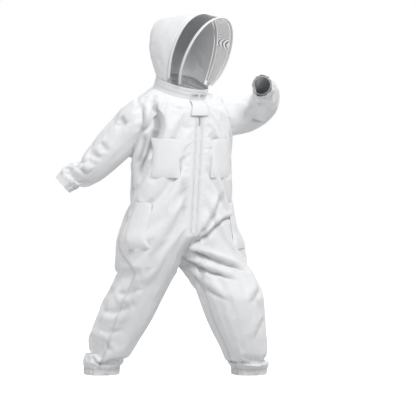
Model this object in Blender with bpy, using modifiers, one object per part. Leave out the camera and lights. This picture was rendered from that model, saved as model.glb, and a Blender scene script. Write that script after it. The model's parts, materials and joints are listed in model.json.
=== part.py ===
"""Beekeeping suit: a hooded one-piece cotton overall, standing open as if worn in mid stride.

Metres, +Z up. The wearer faces -Y and the wearer's left is +X. The origin is the
middle of the neck ring, the circle on which the hood zips to the body. The hood is
turned to the wearer's left and the neck ring leans forward with it.
"""

import math

import bmesh
import bpy
from mathutils import Matrix, Vector

# ---- Driving dimensions -------------------------------------------------------------
COTTON = 0.003  # a folded and seamed thickness of the body cloth
NET = 0.0015  # veil netting with its bound edge
SEAM = 0.0028  # space kept along a seam between two panels
FIT = 0.0004  # clearance between pieces that touch

NECK_RADIUS = 0.116
NECK_TILT = math.radians(20)
HOOD_TURN = math.radians(25)
FRONT_TURN = math.radians(17)  # where the front line meets the neck ring
BAND_HEIGHT = 0.014
BAND_WALL = 0.003

SHOULDER_HALF = 0.205
CHEST_HALF = 0.222
WAIST_HALF = 0.224
HIP_HALF = 0.286
CHEST_BACK = 0.148
SEAT_BACK = 0.165
CROTCH_DROP = 0.744
INSEAM = 0.478

THIGH_RADIUS = 0.136
KNEE_RADIUS = 0.122
HEM_RADIUS = 0.076
HEM_HEIGHT = 0.026

ARM_RADIUS = 0.094
ELBOW_RADIUS = 0.074
WRIST_RADIUS = 0.046
CUFF_SHARE = 0.15  # of the sleeve's length, the cuff

TOOTH_PITCH = 0.014
TOOTH_GAP = 0.0005
TOOTH_REACH = 0.0032
CHAIN_THICK = 0.0024
TAPE_WIDTH = 0.011
ZIP_TOP = 0.134  # drop below the neck ring
ZIP_BOTTOM = 0.626
ZIP_LINE_TOP = Vector((0.033, -0.147, -ZIP_TOP))
ZIP_LINE_BOTTOM = Vector((-0.003, -0.1695, -ZIP_BOTTOM))
ZIP_SLOT = 0.012  # bare chain between the two front edges

NECK_ZIP_END = math.radians(158)  # from the front, each way, to the sewn nape
SLIDER_START = math.radians(7)

SLIDER_LENGTH = 0.014
SLIDER_WIDTH = 0.010
SLIDER_WALL = 0.0014
BAIL_RADIUS = 0.0032  # its height off the slider
BAIL_REACH = 0.0034  # half its length along the zip
BAIL_WALL = 0.0012
BAIL_WIDTH = 0.0022
PIN_STAND = 0.45  # of the bail's height, where the pull's bar turns
PULL_LENGTH = 0.030
PULL_WIDTH = 0.0075
PULL_WALL = 0.0012
PULL_BAR = 0.0012  # the end bar that lies under the bail
EYE_LENGTH = 0.0053

FLAP_WIDTH = 0.058
FLAP_ROWS = (0.30, 2.50)  # from just under the neck band to the top of the front zip
FLAP_WALL = 0.0024
FLAP_STAND = 0.0076  # its outer face above the fronts
GRIP_WIDTH = 0.018
GRIP_ROWS = (0.75, 2.15)
GRIP_WALL = 0.0012

TUNNEL_HALF_WIDTH = 0.008
TUNNEL_HALF_WALL = 0.0034
HOOP_RADIUS = 0.0013
HOOP_BORE = 0.0019

POCKET_WALL = 0.002
CHEST_POCKET_DEPTH = 0.015
THIGH_POCKET_DEPTH = 0.018

BAND_FOOT = TAPE_WIDTH + BAND_HEIGHT + 3 * FIT  # from the zip's middle past a neck band

ELASTIC_WALL = 0.0016

# ---- Shapes --------------------------------------------------------------------------
# One row of the body from the neck to the hem, for one side of the wearer. x is
# measured outwards on that side for the side seam, and in +X for the middle lines.
SIDE_FIELDS = (
    "side_x side_y side_z front_x front_y front_z back_x back_y back_z "
    "round ring leg_x leg_y leg_rx leg_ry inseam outseam split"
).split()


def bezier(corners, t):
    a, b, c, d = corners
    return a * (1 - t) ** 3 + b * (3 * t * (1 - t) ** 2) + c * (3 * t * t * (1 - t)) + d * t**3


def spline(rows, position):
    """Catmull-Rom value of a table of numbers at a fractional row."""
    last = len(rows) - 1
    k = max(0, min(int(position), last - 1))
    t = position - k
    nearby = [rows[max(0, min(last, k + step))] for step in (-1, 0, 1, 2)]
    return [
        0.5 * (2 * b + (c - a) * t + (2 * a - 5 * b + 4 * c - d) * t * t + (3 * b - a - 3 * c + d) * t**3)
        for a, b, c, d in zip(*nearby)
    ]


def neck_frame():
    """The neck ring's plane: turned with the hood and leaning forward."""
    return Matrix.Rotation(HOOD_TURN, 4, "Z") @ Matrix.Rotation(NECK_TILT, 4, "X")


def neck_point(angle, height, radius=NECK_RADIUS):
    """A point on the neck ring; the angle runs from the hood's front towards +X."""
    local = Vector((radius * math.sin(angle), -radius * math.cos(angle), height))
    return neck_frame() @ local


def under_band(direction):
    """Where the body's cloth meets the neck band, in a level direction from the front."""
    return neck_point(direction - HOOD_TURN, -BAND_FOOT - 0.0015, NECK_RADIUS + 0.002)


def zip_point(drop):
    """A point of the straight front line, at a drop below the neck ring."""
    share = (drop - ZIP_TOP) / (ZIP_BOTTOM - ZIP_TOP)
    return ZIP_LINE_TOP.lerp(ZIP_LINE_BOTTOM, share)


def body_rows(side):
    """The body's rows for one side: +1 is the wearer's left, -1 the right."""
    left = side > 0
    neck = [
        under_band(angle) for angle in (side * math.pi / 2, FRONT_TURN, math.pi)
    ]
    rows = [
        [neck[0].x * side, neck[0].y, neck[0].z, *neck[1], *neck[2], 2.0, 1.0]
    ]

    def torso(side_x, side_y, side_z, front_drop, front_y, back_y, back_z, round_):
        front = zip_point(front_drop)
        y = front.y if front_y is None else front_y
        rows.append(
            [
                side_x, side_y, side_z, front.x, y, -front_drop,
                front.x * 0.5, back_y, back_z, round_, 0.0,
            ]
        )

    shoulder_lift = 0.006 if left else 0.0
    torso(0.158, 0.012, -0.020 + shoulder_lift, 0.082, -0.133, 0.122, 0.006, 2.1)
    torso(SHOULDER_HALF, 0.016, -0.052 + shoulder_lift, 0.110, None, 0.138, -0.045, 2.2)
    torso(CHEST_HALF, 0.012, -0.108, 0.150, None, CHEST_BACK, -0.112, 2.3)
    torso(CHEST_HALF, 0.008, -0.205, 0.220, None, CHEST_BACK, -0.205, 2.35)
    torso(CHEST_HALF - 0.002, 0.0, -0.300, 0.305, None, CHEST_BACK - 0.006, -0.300, 2.35)
    torso(WAIST_HALF + 0.001, 0.0, -0.390, 0.392, None, CHEST_BACK - 0.016, -0.390, 2.3)
    torso(WAIST_HALF + (0.006 if left else 0.014), 0.0, -0.495, 0.495, None, 0.140, -0.495, 2.3)
    torso(HIP_HALF - (0.036 if left else 0.014), 0.0, -0.600, 0.600, None, SEAT_BACK - 0.006, -0.600, 2.3)
    torso(HIP_HALF - (0.016 if left else 0.003), 0.0, -0.640, 0.640, None, SEAT_BACK, -0.640, 2.3)
    torso(HIP_HALF + 0.001, 0.0, -0.685, 0.685, None, SEAT_BACK, -0.685, 2.3)

    crotch_x = -0.014 * side
    if left:  # the stepping leg, its knee bent forward
        legs = [
            (0.142, -0.010, THIGH_RADIUS + 0.020, 0.160, 5, 176, 0.0),
            (0.146, -0.014, THIGH_RADIUS + 0.022, 0.158, 6, 176, 0.36),
            (0.145, -0.020, THIGH_RADIUS + 0.023, 0.155, 8, 175, 1.0),
            (0.160, -0.050, THIGH_RADIUS + 0.019, 0.152, 12, 174, 1.0),
            (0.186, -0.100, KNEE_RADIUS + 0.021, 0.140, 18, 172, 1.0),
            (0.212, -0.116, KNEE_RADIUS + 0.001, 0.122, 20, 170, 1.0),
            (0.240, -0.112, KNEE_RADIUS - 0.018, 0.106, 22, 170, 1.0),
            (0.266, -0.104, HEM_RADIUS + 0.017, 0.095, 22, 170, 1.0),
            (0.279, -0.100, HEM_RADIUS + 0.012, HEM_RADIUS + 0.012, 22, 170, 1.0),
            (0.280, -0.099, HEM_RADIUS, HEM_RADIUS, 22, 170, 1.0),
        ]
    else:  # the trailing leg, nearly straight
        legs = [
            (0.146, 0.008, THIGH_RADIUS + 0.002, 0.150, 2, 160, 0.0),
            (0.150, 0.012, THIGH_RADIUS + 0.002, 0.148, 2, 152, 0.36),
            (0.150, 0.020, THIGH_RADIUS, 0.145, 2, 142, 1.0),
            (0.158, 0.032, THIGH_RADIUS - 0.017, 0.134, 2, 134, 1.0),
            (0.195, 0.056, KNEE_RADIUS + 0.002, 0.125, 2, 128, 1.0),
            (0.240, 0.082, KNEE_RADIUS - 0.001, 0.119, 2, 124, 1.0),
            (0.277, 0.101, KNEE_RADIUS - 0.016, 0.107, 2, 120, 1.0),
            (0.312, 0.114, HEM_RADIUS + 0.016, 0.094, 2, 116, 1.0),
            (0.324, 0.119, HEM_RADIUS + 0.006, HEM_RADIUS + 0.008, 2, 114, 1.0),
            (0.326, 0.120, HEM_RADIUS, HEM_RADIUS, 2, 114, 1.0),
        ]
    legs[2] = (legs[2][2] + crotch_x, *legs[2][1:])  # both inseams start at one point
    first_leg = len(rows) - 2
    shares = (0.0, 0.09, 0.26, 0.50, 0.70, 0.88, 0.97, 1.0)
    last_torso = list(rows[-1])
    for share in shares:
        level = -CROTCH_DROP - INSEAM * share
        rows.append(
            [*last_torso[:2], level, *last_torso[3:5], level, *last_torso[6:8], level, *last_torso[9:]]
        )
    for k, row in enumerate(rows):
        row += list(legs[max(0, k - first_leg)])
    return rows


ROWS = {side: body_rows(side) for side in (1, -1)}
LAST_ROW = float(len(ROWS[1]) - 1)
STATIONS = [LAST_ROW * k / 26 for k in range(27)]  # every body panel shares these rows
WAIST_STATION = 9
WAIST_ROW = STATIONS[WAIST_STATION]
WAIST_GAP = 0.02  # in rows, each side of the waist seam


def body_point(side, face, s, row):
    """A point of the body's cloth. face is -1 in front and +1 behind; s runs from the
    middle line (or the inseam below the crotch) to the side seam."""
    value = dict(zip(SIDE_FIELDS, spline(ROWS[side], row)))
    middle = "front" if face < 0 else "back"
    mid_x, mid_y, mid_z = (value[middle + axis] for axis in ("_x", "_y", "_z"))
    power = 2 / value["round"]
    turn = s * math.pi / 2
    out, along = (max(0.0, wave(turn)) ** power for wave in (math.sin, math.cos))
    upper = Vector(
        (
            mid_x + (side * value["side_x"] - mid_x) * out,
            value["side_y"] + (mid_y - value["side_y"]) * along,
            mid_z * math.cos(turn) ** 2 + value["side_z"] * math.sin(turn) ** 2,
        )
    )
    if value["ring"] > 0:  # near the neck the row becomes the leaning circle itself
        middle_turn = FRONT_TURN if face < 0 else side * math.pi
        direction = middle_turn + (side * math.pi / 2 - middle_turn) * s
        upper = upper.lerp(under_band(direction), min(1.0, value["ring"]))
    split = min(1.0, max(0.0, value["split"]))
    if split == 0:
        return upper
    start, end = math.radians(value["inseam"]), math.radians(value["outseam"])
    angle = start + (end - start) * s if face < 0 else start - (start + 2 * math.pi - end) * s
    lower = Vector(
        (
            side * (value["leg_x"] - value["leg_rx"] * math.cos(angle)),
            value["leg_y"] - value["leg_ry"] * math.sin(angle),
            value["side_z"],
        )
    )
    return upper.lerp(lower, split)


def body_normal(side, face, s, row):
    """The direction out of the cloth at a point."""
    step = 0.01
    low, high = max(0.0, s - step), min(1.0, s + step)
    across = body_point(side, face, high, row) - body_point(side, face, low, row)
    down = body_point(side, face, s, row + step) - body_point(side, face, s, row - step)
    return (across.cross(down) * side * -face * -1).normalized()


def body_length(side, face, row):
    points = [body_point(side, face, k / 8, row) for k in range(9)]
    return sum((b - a).length for a, b in zip(points, points[1:]))


# ---- Scene helpers -------------------------------------------------------------------
def clear_scene():
    for old in list(bpy.data.objects):
        bpy.data.objects.remove(old, do_unlink=True)


def new_collection(name):
    made = bpy.data.collections.new(name)
    bpy.context.scene.collection.children.link(made)
    return made


def material(name, color, roughness, metallic=0.0):
    made = bpy.data.materials.new(name)
    made.use_nodes = True
    shader = made.node_tree.nodes["Principled BSDF"]
    shader.inputs["Base Color"].default_value = (*color, 1.0)
    shader.inputs["Roughness"].default_value = roughness
    shader.inputs["Metallic"].default_value = metallic
    return made


clear_scene()
PARTS = new_collection("beekeeping_suit")
CUTTERS = new_collection("cutters")
CLOTH = material("white_cotton", (0.86, 0.875, 0.89), 0.9)
VEIL = material("black_net", (0.03, 0.03, 0.032), 0.7)
TAPE = material("white_zip", (0.83, 0.85, 0.87), 0.5)
METAL = material("zinc_slider", (0.62, 0.63, 0.65), 0.35, 1.0)
SPRING = material("spring_steel", (0.55, 0.56, 0.58), 0.3, 1.0)
RIB = material("elastic", (0.88, 0.88, 0.88), 0.85)
GRIP = material("hook_and_loop", (0.80, 0.81, 0.83), 0.95)


def add_object(name, bm, finish, collection=None):
    mesh = bpy.data.meshes.new(name)
    bm.to_mesh(mesh)
    bm.free()
    made = bpy.data.objects.new(name, mesh)
    (collection or PARTS).objects.link(made)
    if finish:
        mesh.materials.append(finish)
    mesh.shade_smooth()
    mesh.set_sharp_from_angle(angle=math.radians(40))
    return made


def cutter(name, bm):
    made = add_object(name, bm, None, CUTTERS)
    made.hide_render = True
    made.display_type = "WIRE"
    return made


def boolean(target, other, operation="DIFFERENCE"):
    modifier = target.modifiers.new(operation.lower(), "BOOLEAN")
    modifier.operation = operation
    modifier.object = other
    modifier.solver = "EXACT"


def pivot(name, origin, axis, parts):
    """An empty on a joint's axis, its Z along the axis, that carries the pieces."""
    empty = bpy.data.objects.new(name, None)
    PARTS.objects.link(empty)
    empty.empty_display_size = 0.02
    turn = Vector((0, 0, 1)).rotation_difference(Vector(axis)).to_matrix().to_4x4()
    empty.matrix_world = Matrix.Translation(origin) @ turn
    for part in parts:
        part.parent = empty
        part.matrix_parent_inverse = empty.matrix_world.inverted()
    return empty


def grid(bm, rows):
    """Quads over rows of points; equal neighbouring points are merged afterwards."""
    made = [[bm.verts.new(point) for point in row] for row in rows]
    for upper, lower in zip(made, made[1:]):
        for k in range(len(upper) - 1):
            bm.faces.new((upper[k], upper[k + 1], lower[k + 1], lower[k]))


def sheet(name, rows, thickness, facing, finish, weld=False):
    """A cloth panel: a surface whose thickness is added on the inner side."""
    bm = bmesh.new()
    grid(bm, rows)
    if weld:
        bmesh.ops.remove_doubles(bm, verts=bm.verts, dist=1e-5)
    bm.normal_update()
    middle = rows[len(rows) // 2][len(rows[0]) // 2]
    nearest = min(bm.faces, key=lambda face: (face.calc_center_median() - middle).length)
    if nearest.normal.dot(Vector(facing)) < 0:
        bmesh.ops.reverse_faces(bm, faces=bm.faces)
    made = add_object(name, bm, finish)
    wall = made.modifiers.new("wall", "SOLIDIFY")
    wall.thickness = thickness
    wall.offset = -1
    wall.use_quality_normals = True
    return made


def rings_mesh(outer, inner=None):
    """A lofted tube: closed at both ends, or a wall between outer and inner rings."""
    bm = bmesh.new()
    sides = [[[bm.verts.new(point) for point in ring] for ring in outer]]
    if inner:
        sides.append([[bm.verts.new(point) for point in ring] for ring in inner])
    count = len(outer[0])
    for rings in sides:
        for a, b in zip(rings, rings[1:]):
            for k in range(count):
                bm.faces.new((a[k], a[(k + 1) % count], b[(k + 1) % count], b[k]))
    if inner:
        for end in (0, -1):
            a, b = sides[0][end], sides[1][end]
            for k in range(count):
                bm.faces.new((a[k], a[(k + 1) % count], b[(k + 1) % count], b[k]))
    else:
        for end in (0, -1):
            bm.faces.new(sides[0][end])
    bmesh.ops.recalc_face_normals(bm, faces=bm.faces)
    return bm


def tube_rings(path, count, grow=0.0):
    """Rings across a path of (point, level radius, upright radius)."""
    rings = []
    for k, (point, level, upright) in enumerate(path):
        ahead = path[min(k + 1, len(path) - 1)][0] - path[max(k - 1, 0)][0]
        ahead.normalize()
        across = ahead.cross(Vector((0, 0, 1))).normalized()
        up = across.cross(ahead)
        rings.append(
            [
                point
                + across * (level + grow) * math.cos(2 * math.pi * i / count)
                + up * (upright + grow) * math.sin(2 * math.pi * i / count)
                for i in range(count)
            ]
        )
    return rings


# ---- Body ----------------------------------------------------------------------------
def span(start, end, steps):
    return [start + (end - start) * k / steps for k in range(steps + 1)]


def front_panel(side, name):
    """One front, cut in one piece from shoulder to hem."""
    rows = []
    for row in STATIONS:
        length = body_length(side, -1, row)
        drop = -body_point(side, -1, 0.0, row).z
        edge = SEAM / 2 if drop > ZIP_BOTTOM + 0.012 else ZIP_SLOT / 2
        rows.append(
            [body_point(side, -1, s, row) for s in span(edge / length, 1 - SEAM / 2 / length, 8)]
        )
    return sheet(name, rows, COTTON, (0, -1, 0), CLOTH)


def back_panel(side, name):
    """One back leg and half of the seat, from the waist seam to the hem."""
    rows = []
    for row in [WAIST_ROW + WAIST_GAP, *STATIONS[WAIST_STATION + 1 :]]:
        length = body_length(side, 1, row)
        gap = SEAM / 2 / length
        rows.append([body_point(side, 1, s, row) for s in span(gap, 1 - gap, 8)])
    return sheet(name, rows, COTTON, (0, 1, 0), CLOTH)


def back_bodice():
    """The back from the neck to the waist seam, across both shoulders."""
    rows = []
    for row in [*STATIONS[:WAIST_STATION], WAIST_ROW - WAIST_GAP]:
        points = []
        for side in (-1, 1):
            gap = SEAM / 2 / body_length(side, 1, row)
            line = [body_point(side, 1, s, row) for s in span(1 - gap, 0.0, 8)]
            points += line if side < 0 else line[-2::-1]
        rows.append(points)
    return sheet("back_bodice", rows, COTTON, (0, 1, 0), CLOTH)


def torso_solid(grow):
    """The space inside the upper body's outer face, which trims the sleeves."""
    rings = []
    for row in span(0.35, 7.6, 18):
        ring = []
        for side, face in ((-1, -1), (-1, 1), (1, 1), (1, -1)):
            forward = side * face > 0
            steps = [k / 10 for k in range(10)]
            shares = steps if forward else [1 - s for s in steps]
            for s in shares:
                point = body_point(side, face, s, row)
                level = Vector((point.x, point.y, 0)).normalized()
                ring.append(point + level * grow)
        rings.append(ring)
    return cutter("torso_space", rings_mesh(rings))


RIGHT_ARM = [  # point of the middle line, then level and upright radius
    (-0.125, 0.004, -0.142, 0.078, 0.076),
    (-0.178, 0.020, -0.132, ARM_RADIUS - 0.004, ARM_RADIUS + 0.004),
    (-0.236, 0.056, -0.180, ARM_RADIUS - 0.014, ARM_RADIUS - 0.010),
    (-0.290, 0.080, -0.234, ELBOW_RADIUS + 0.004, ELBOW_RADIUS + 0.004),
    (-0.334, 0.100, -0.282, ELBOW_RADIUS, ELBOW_RADIUS + 0.001),
    (-0.376, 0.112, -0.322, ELBOW_RADIUS - 0.004, ELBOW_RADIUS - 0.003),
    (-0.418, 0.124, -0.358, ELBOW_RADIUS - 0.014, ELBOW_RADIUS - 0.012),
    (-0.452, 0.134, -0.390, ELBOW_RADIUS - 0.020, ELBOW_RADIUS - 0.018),
    (-0.480, 0.142, -0.414, WRIST_RADIUS + 0.002, WRIST_RADIUS + 0.003),
    (-0.492, 0.146, -0.425, WRIST_RADIUS - 0.003, WRIST_RADIUS - 0.002),
]
LEFT_ARM = [
    (0.125, 0.002, -0.130, 0.078, 0.076),
    (0.188, 0.004, -0.112, ARM_RADIUS - 0.004, ARM_RADIUS - 0.002),
    (0.246, 0.006, -0.104, ARM_RADIUS - 0.018, ARM_RADIUS - 0.012),
    (0.304, 0.006, -0.090, ELBOW_RADIUS - 0.010, ELBOW_RADIUS + 0.006),
    (0.350, -0.020, -0.066, ELBOW_RADIUS - 0.020, ELBOW_RADIUS + 0.002),
    (0.362, -0.078, -0.044, ELBOW_RADIUS - 0.020, ELBOW_RADIUS - 0.002),
    (0.344, -0.138, -0.026, ELBOW_RADIUS - 0.018, ELBOW_RADIUS - 0.006),
    (0.318, -0.188, -0.012, ELBOW_RADIUS - 0.020, ELBOW_RADIUS - 0.012),
    (0.291, -0.228, -0.002, WRIST_RADIUS + 0.003, WRIST_RADIUS + 0.005),
    (0.280, -0.242, 0.001, WRIST_RADIUS - 0.003, WRIST_RADIUS - 0.002),
]
ARM_SIDES = 16


def arm_path(table, start, end, steps):
    last = len(table) - 1
    path = []
    for share in span(start, end, steps):
        x, y, z, level, upright = spline(table, share * last)
        path.append((Vector((x, y, z)), level, upright))
    return path


def sleeve(name, table, torso):
    end = 1 - CUFF_SHARE
    path = arm_path(table, 0.0, end, 15)
    made = add_object(
        name,
        rings_mesh(tube_rings(path, ARM_SIDES), tube_rings(path, ARM_SIDES, -COTTON)),
        CLOTH,
    )
    boolean(made, torso)
    return made


def armhole(name, table):
    return cutter(name, rings_mesh(tube_rings(arm_path(table, 0.0, 0.5, 9), ARM_SIDES, FIT * 2)))


def cuff(name, table):
    start = 1 - CUFF_SHARE + 0.004
    path = arm_path(table, start, 1.0, 3)
    return add_object(
        name,
        rings_mesh(tube_rings(path, ARM_SIDES), tube_rings(path, ARM_SIDES, -COTTON)),
        CLOTH,
    )


def wrist_elastic(name, table):
    path = arm_path(table, 0.972, 0.998, 2)
    outer = -COTTON - FIT
    return add_object(
        name,
        rings_mesh(
            tube_rings(path, ARM_SIDES, outer), tube_rings(path, ARM_SIDES, outer - ELASTIC_WALL)
        ),
        RIB,
    )


def leg_ring(side, row, grow, drop=0.0, count=20):
    value = dict(zip(SIDE_FIELDS, spline(ROWS[side], row)))
    return [
        Vector(
            (
                side * (value["leg_x"] - (value["leg_rx"] + grow) * math.cos(2 * math.pi * k / count)),
                value["leg_y"] - (value["leg_ry"] + grow) * math.sin(2 * math.pi * k / count),
                value["side_z"] - drop,
            )
        )
        for k in range(count)
    ]


def hem(side, name):
    """The turned-up casing that holds the ankle elastic, gathered under the leg."""
    drops = (SEAM / 2, HEM_HEIGHT * 0.5, HEM_HEIGHT)
    swell = (0.0, 0.003, -0.004)
    outer = [leg_ring(side, LAST_ROW, g, d) for g, d in zip(swell, drops)]
    inner = [leg_ring(side, LAST_ROW, g - COTTON, d) for g, d in zip(swell, drops)]
    return add_object(name, rings_mesh(outer, inner), CLOTH)


def ankle_elastic(side, name):
    drops = (HEM_HEIGHT * 0.25, HEM_HEIGHT * 0.9)
    outer = [leg_ring(side, LAST_ROW, -COTTON - 0.004 - FIT, d) for d in drops]
    inner = [leg_ring(side, LAST_ROW, -COTTON - 0.004 - FIT - ELASTIC_WALL, d) for d in drops]
    return add_object(name, rings_mesh(outer, inner), RIB)


def waist_elastic():
    """The band inside the back of the waist, from side seam to side seam."""
    rows = []
    for row in span(WAIST_ROW - 0.17, WAIST_ROW + 0.17, 2):
        points = []
        for side in (-1, 1):
            line = []
            for s in span(0.96, 0.0, 10):
                inward = body_normal(side, 1, s, row) * (COTTON + 3 * FIT)
                line.append(body_point(side, 1, s, row) - inward)
            points += line if side < 0 else line[-2::-1]
        rows.append(points)
    return sheet("waist_elastic", rows, ELASTIC_WALL, (0, 1, 0), RIB)


def patch_pocket(name, side, depth, s_range, row_range):
    """A patch sewn on three sides that stands off the front and is open at the top."""
    rows = []
    down = span(*row_range, 7)
    for j, row in enumerate(down):
        line = []
        across = span(*s_range, 8)
        for i, s in enumerate(across):
            edge = min(i, len(across) - 1 - i) / 2
            low = (len(down) - 1 - j) / 2
            rise = math.sin(math.pi / 2 * min(1.0, edge, low))
            stand = POCKET_WALL + 5 * FIT + depth * rise
            point = body_point(side, -1, s, row)
            line.append(point + body_normal(side, -1, s, row) * stand)
        rows.append(line)
    return sheet(name, rows, POCKET_WALL, (0, -1, 0), CLOTH)


# ---- Zips ----------------------------------------------------------------------------
def comb(name, place, length, first, thick, facing):
    """A zip tape with its teeth. place(along, across) gives a point; across is 0 on the
    line where the two rows of teeth mesh. Even spaces hold a tooth if first is 0."""
    count = 2 * int(length / TOOTH_PITCH)
    bm = bmesh.new()
    tape, root, tip = TAPE_WIDTH, TOOTH_REACH / 2 + TOOTH_GAP, -TOOTH_REACH / 2
    stations = span(0.0, length, count)
    foot = [[bm.verts.new(place(at, across)) for across in (tape, root)] for at in stations]
    for k in range(count):
        bm.faces.new((foot[k][0], foot[k + 1][0], foot[k + 1][1], foot[k][1]))
        if k % 2 != first:
            continue
        bm.verts.ensure_lookup_table()
        inset = TOOTH_GAP / 2
        a = bm.verts.new(place(stations[k] + inset, tip))
        b = bm.verts.new(place(stations[k + 1] - inset, tip))
        bm.faces.new((foot[k][1], foot[k + 1][1], b, a))
    bm.normal_update()
    bm.faces.ensure_lookup_table()
    if bm.faces[0].normal.dot(Vector(facing)) < 0:
        bmesh.ops.reverse_faces(bm, faces=bm.faces)
    made = add_object(name, bm, TAPE)
    wall = made.modifiers.new("wall", "SOLIDIFY")
    wall.thickness = thick
    wall.offset = 0
    return made


ZIP_DIRECTION = (ZIP_LINE_BOTTOM - ZIP_LINE_TOP).normalized()
ZIP_OUT = Vector((1, 0, 0)).cross(ZIP_DIRECTION).normalized()
ZIP_OUT *= -math.copysign(1, ZIP_OUT.y)
ZIP_ACROSS = ZIP_OUT.cross(ZIP_DIRECTION).normalized()
ZIP_ACROSS *= math.copysign(1, ZIP_ACROSS.x)
CHAIN_BACK = 0.0058  # the chain lies this far behind the front line


def main_zip(side, name):
    def place(along, across):
        return (
            ZIP_LINE_TOP + ZIP_DIRECTION * along + ZIP_ACROSS * side * across - ZIP_OUT * CHAIN_BACK
        )

    length = (ZIP_LINE_BOTTOM - ZIP_LINE_TOP).length
    return comb(name, place, length, 0 if side > 0 else 1, CHAIN_THICK * 0.5, (0, -1, 0))


def neck_zip(up, name):
    """Half of the zip round the neck: up is +1 for the hood's row, -1 for the body's."""
    def place(along, across):
        angle = along / NECK_RADIUS - NECK_ZIP_END
        return neck_point(angle, up * across)

    made = comb(name, place, 2 * NECK_ZIP_END * NECK_RADIUS, 0 if up > 0 else 1, 0.0014, (0, 1, 0))
    return made


def neck_band(up, name):
    """The stitched cotton band beside the neck zip."""
    start = TAPE_WIDTH + FIT
    heights = [up * start, up * (start + BAND_HEIGHT)]
    count = 36
    rings = {}
    for wall, radius in (("out", NECK_RADIUS + BAND_WALL / 2), ("in", NECK_RADIUS - BAND_WALL / 2)):
        rings[wall] = [
            [neck_point(2 * math.pi * k / count, height, radius) for k in range(count)]
            for height in heights
        ]
    return add_object(name, rings_mesh(rings["out"], rings["in"]), CLOTH)


def nape_strip(up, name):
    """The sewn end of the neck opening, between the two ends of the zip at the nape."""
    low, high = up * FIT, up * TAPE_WIDTH
    start, end = NECK_ZIP_END + math.radians(1), 2 * math.pi - NECK_ZIP_END - math.radians(1)
    rows = [[neck_point(angle, height) for angle in span(start, end, 8)] for height in (low, high)]
    made = sheet(name, rows, BAND_WALL / 2, (0, 1, 0), CLOTH)
    made.modifiers["wall"].offset = 0
    return made


def box_mesh(size, centre):
    bm = bmesh.new()
    bmesh.ops.create_cube(bm, size=1.0)
    bmesh.ops.scale(bm, vec=size, verts=bm.verts)
    bmesh.ops.translate(bm, vec=centre, verts=bm.verts)
    return bm


def slider(name, frame):
    """A zip slider in its own frame: X across, Y out of the cloth, Z along the zip. Two
    flanges reach round the teeth, and a bail on its face carries the pull."""
    out = CHAIN_THICK / 2 + FIT
    made = add_object(
        name,
        box_mesh((SLIDER_WIDTH, SLIDER_WALL, SLIDER_LENGTH), (0, out + SLIDER_WALL / 2, 0)),
        METAL,
    )
    edge = made.modifiers.new("corners", "BEVEL")
    edge.width = 0.0005
    edge.segments = 1
    count, reach = 6, BAIL_REACH
    rings = []
    for k in range(count + 1):
        angle = math.pi * k / count
        rise = out + SLIDER_WALL * 0.6 + BAIL_RADIUS * math.sin(angle)
        centre = Vector((0, rise, reach * math.cos(angle)))
        radial = Vector((0, math.sin(angle) * reach, math.cos(angle) * BAIL_RADIUS)).normalized()
        radial *= BAIL_WALL / 2
        across = Vector((BAIL_WIDTH / 2, 0, 0))
        rings.append([centre + radial * a + across * b for a, b in ((1, 1), (1, -1), (-1, -1), (-1, 1))])
    bail_object = cutter(name + "_bail", rings_mesh(rings))
    boolean(made, bail_object, "UNION")
    for piece in (made, bail_object):
        piece.data.transform(frame)
    return made


def pull_axis():
    """How far the pull's pin line stands off the middle of the chain."""
    return CHAIN_THICK / 2 + FIT + SLIDER_WALL * 0.6 + BAIL_RADIUS * PIN_STAND


def pin_point(frame):
    return frame @ Vector((0, pull_axis(), 0))


def pull(name, frame):
    """The pull tab: a plate with an eye round the slider's bail, hanging down the zip."""
    axis = pull_axis()
    bar = PULL_BAR / 2
    outline = [
        (-PULL_WIDTH / 2, bar), (PULL_WIDTH / 2, bar),
        (PULL_WIDTH / 2 * 0.8, -PULL_LENGTH), (-PULL_WIDTH / 2 * 0.8, -PULL_LENGTH),
    ]
    bm = bmesh.new()
    face = bm.faces.new([bm.verts.new((x, axis - PULL_WALL / 2, z)) for x, z in outline])
    grown = bmesh.ops.extrude_face_region(bm, geom=[face])
    moved = [item for item in grown["geom"] if isinstance(item, bmesh.types.BMVert)]
    bmesh.ops.translate(bm, vec=(0, PULL_WALL, 0), verts=moved)
    bmesh.ops.recalc_face_normals(bm, faces=bm.faces)
    made = add_object(name, bm, METAL)
    hole = cutter(name + "_eye", box_mesh((0.0036, 0.01, EYE_LENGTH), (0, axis, -bar - EYE_LENGTH / 2)))
    boolean(made, hole)
    for piece in (made, hole):
        piece.data.transform(frame)
    return made


def zip_frame(point, out, along):
    """X across, Y out, Z up the zip."""
    z = -Vector(along).normalized()
    y = Vector(out).normalized()
    x = y.cross(z)
    return Matrix.Translation(point) @ Matrix((x, y, z)).transposed().to_4x4()


def neck_slider_frame(angle):
    point = neck_point(angle, 0.0)
    out = neck_point(angle, 0.0, 1.0) - neck_point(angle, 0.0, 0.9)
    up = neck_frame().to_3x3() @ Vector((0, 0, 1))
    along = out.cross(up)
    if angle < 0:
        along = -along
    return zip_frame(point, out, -along)


# ---- Throat --------------------------------------------------------------------------
def throat_rows(across_range, row_range, stand, steps=6):
    """Points over the throat; across is metres from the middle, + to the wearer's left."""
    rows = []
    for row in span(*row_range, 8):
        line = []
        for across in span(*across_range, steps):
            side = 1 if across >= 0 else -1
            s = abs(across) / body_length(side, -1, row)
            line.append(body_point(side, -1, s, row) + body_normal(side, -1, s, row) * stand)
        rows.append(line)
    return rows


def throat_tab():
    """The cloth tab behind the front edges, above the top of the front zip."""
    rows = throat_rows((-0.016, 0.016), (0.22, 2.45), -COTTON - 8 * FIT)
    return sheet("throat_tab", rows, POCKET_WALL, (0, -1, 0), CLOTH)


def flap_edge():
    """The two ends of the flap's sewn edge, which is its hinge line."""
    rows = throat_rows((FLAP_WIDTH / 2, FLAP_WIDTH / 2), FLAP_ROWS, FLAP_STAND, 1)
    return rows[0][0], rows[-1][0]


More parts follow.
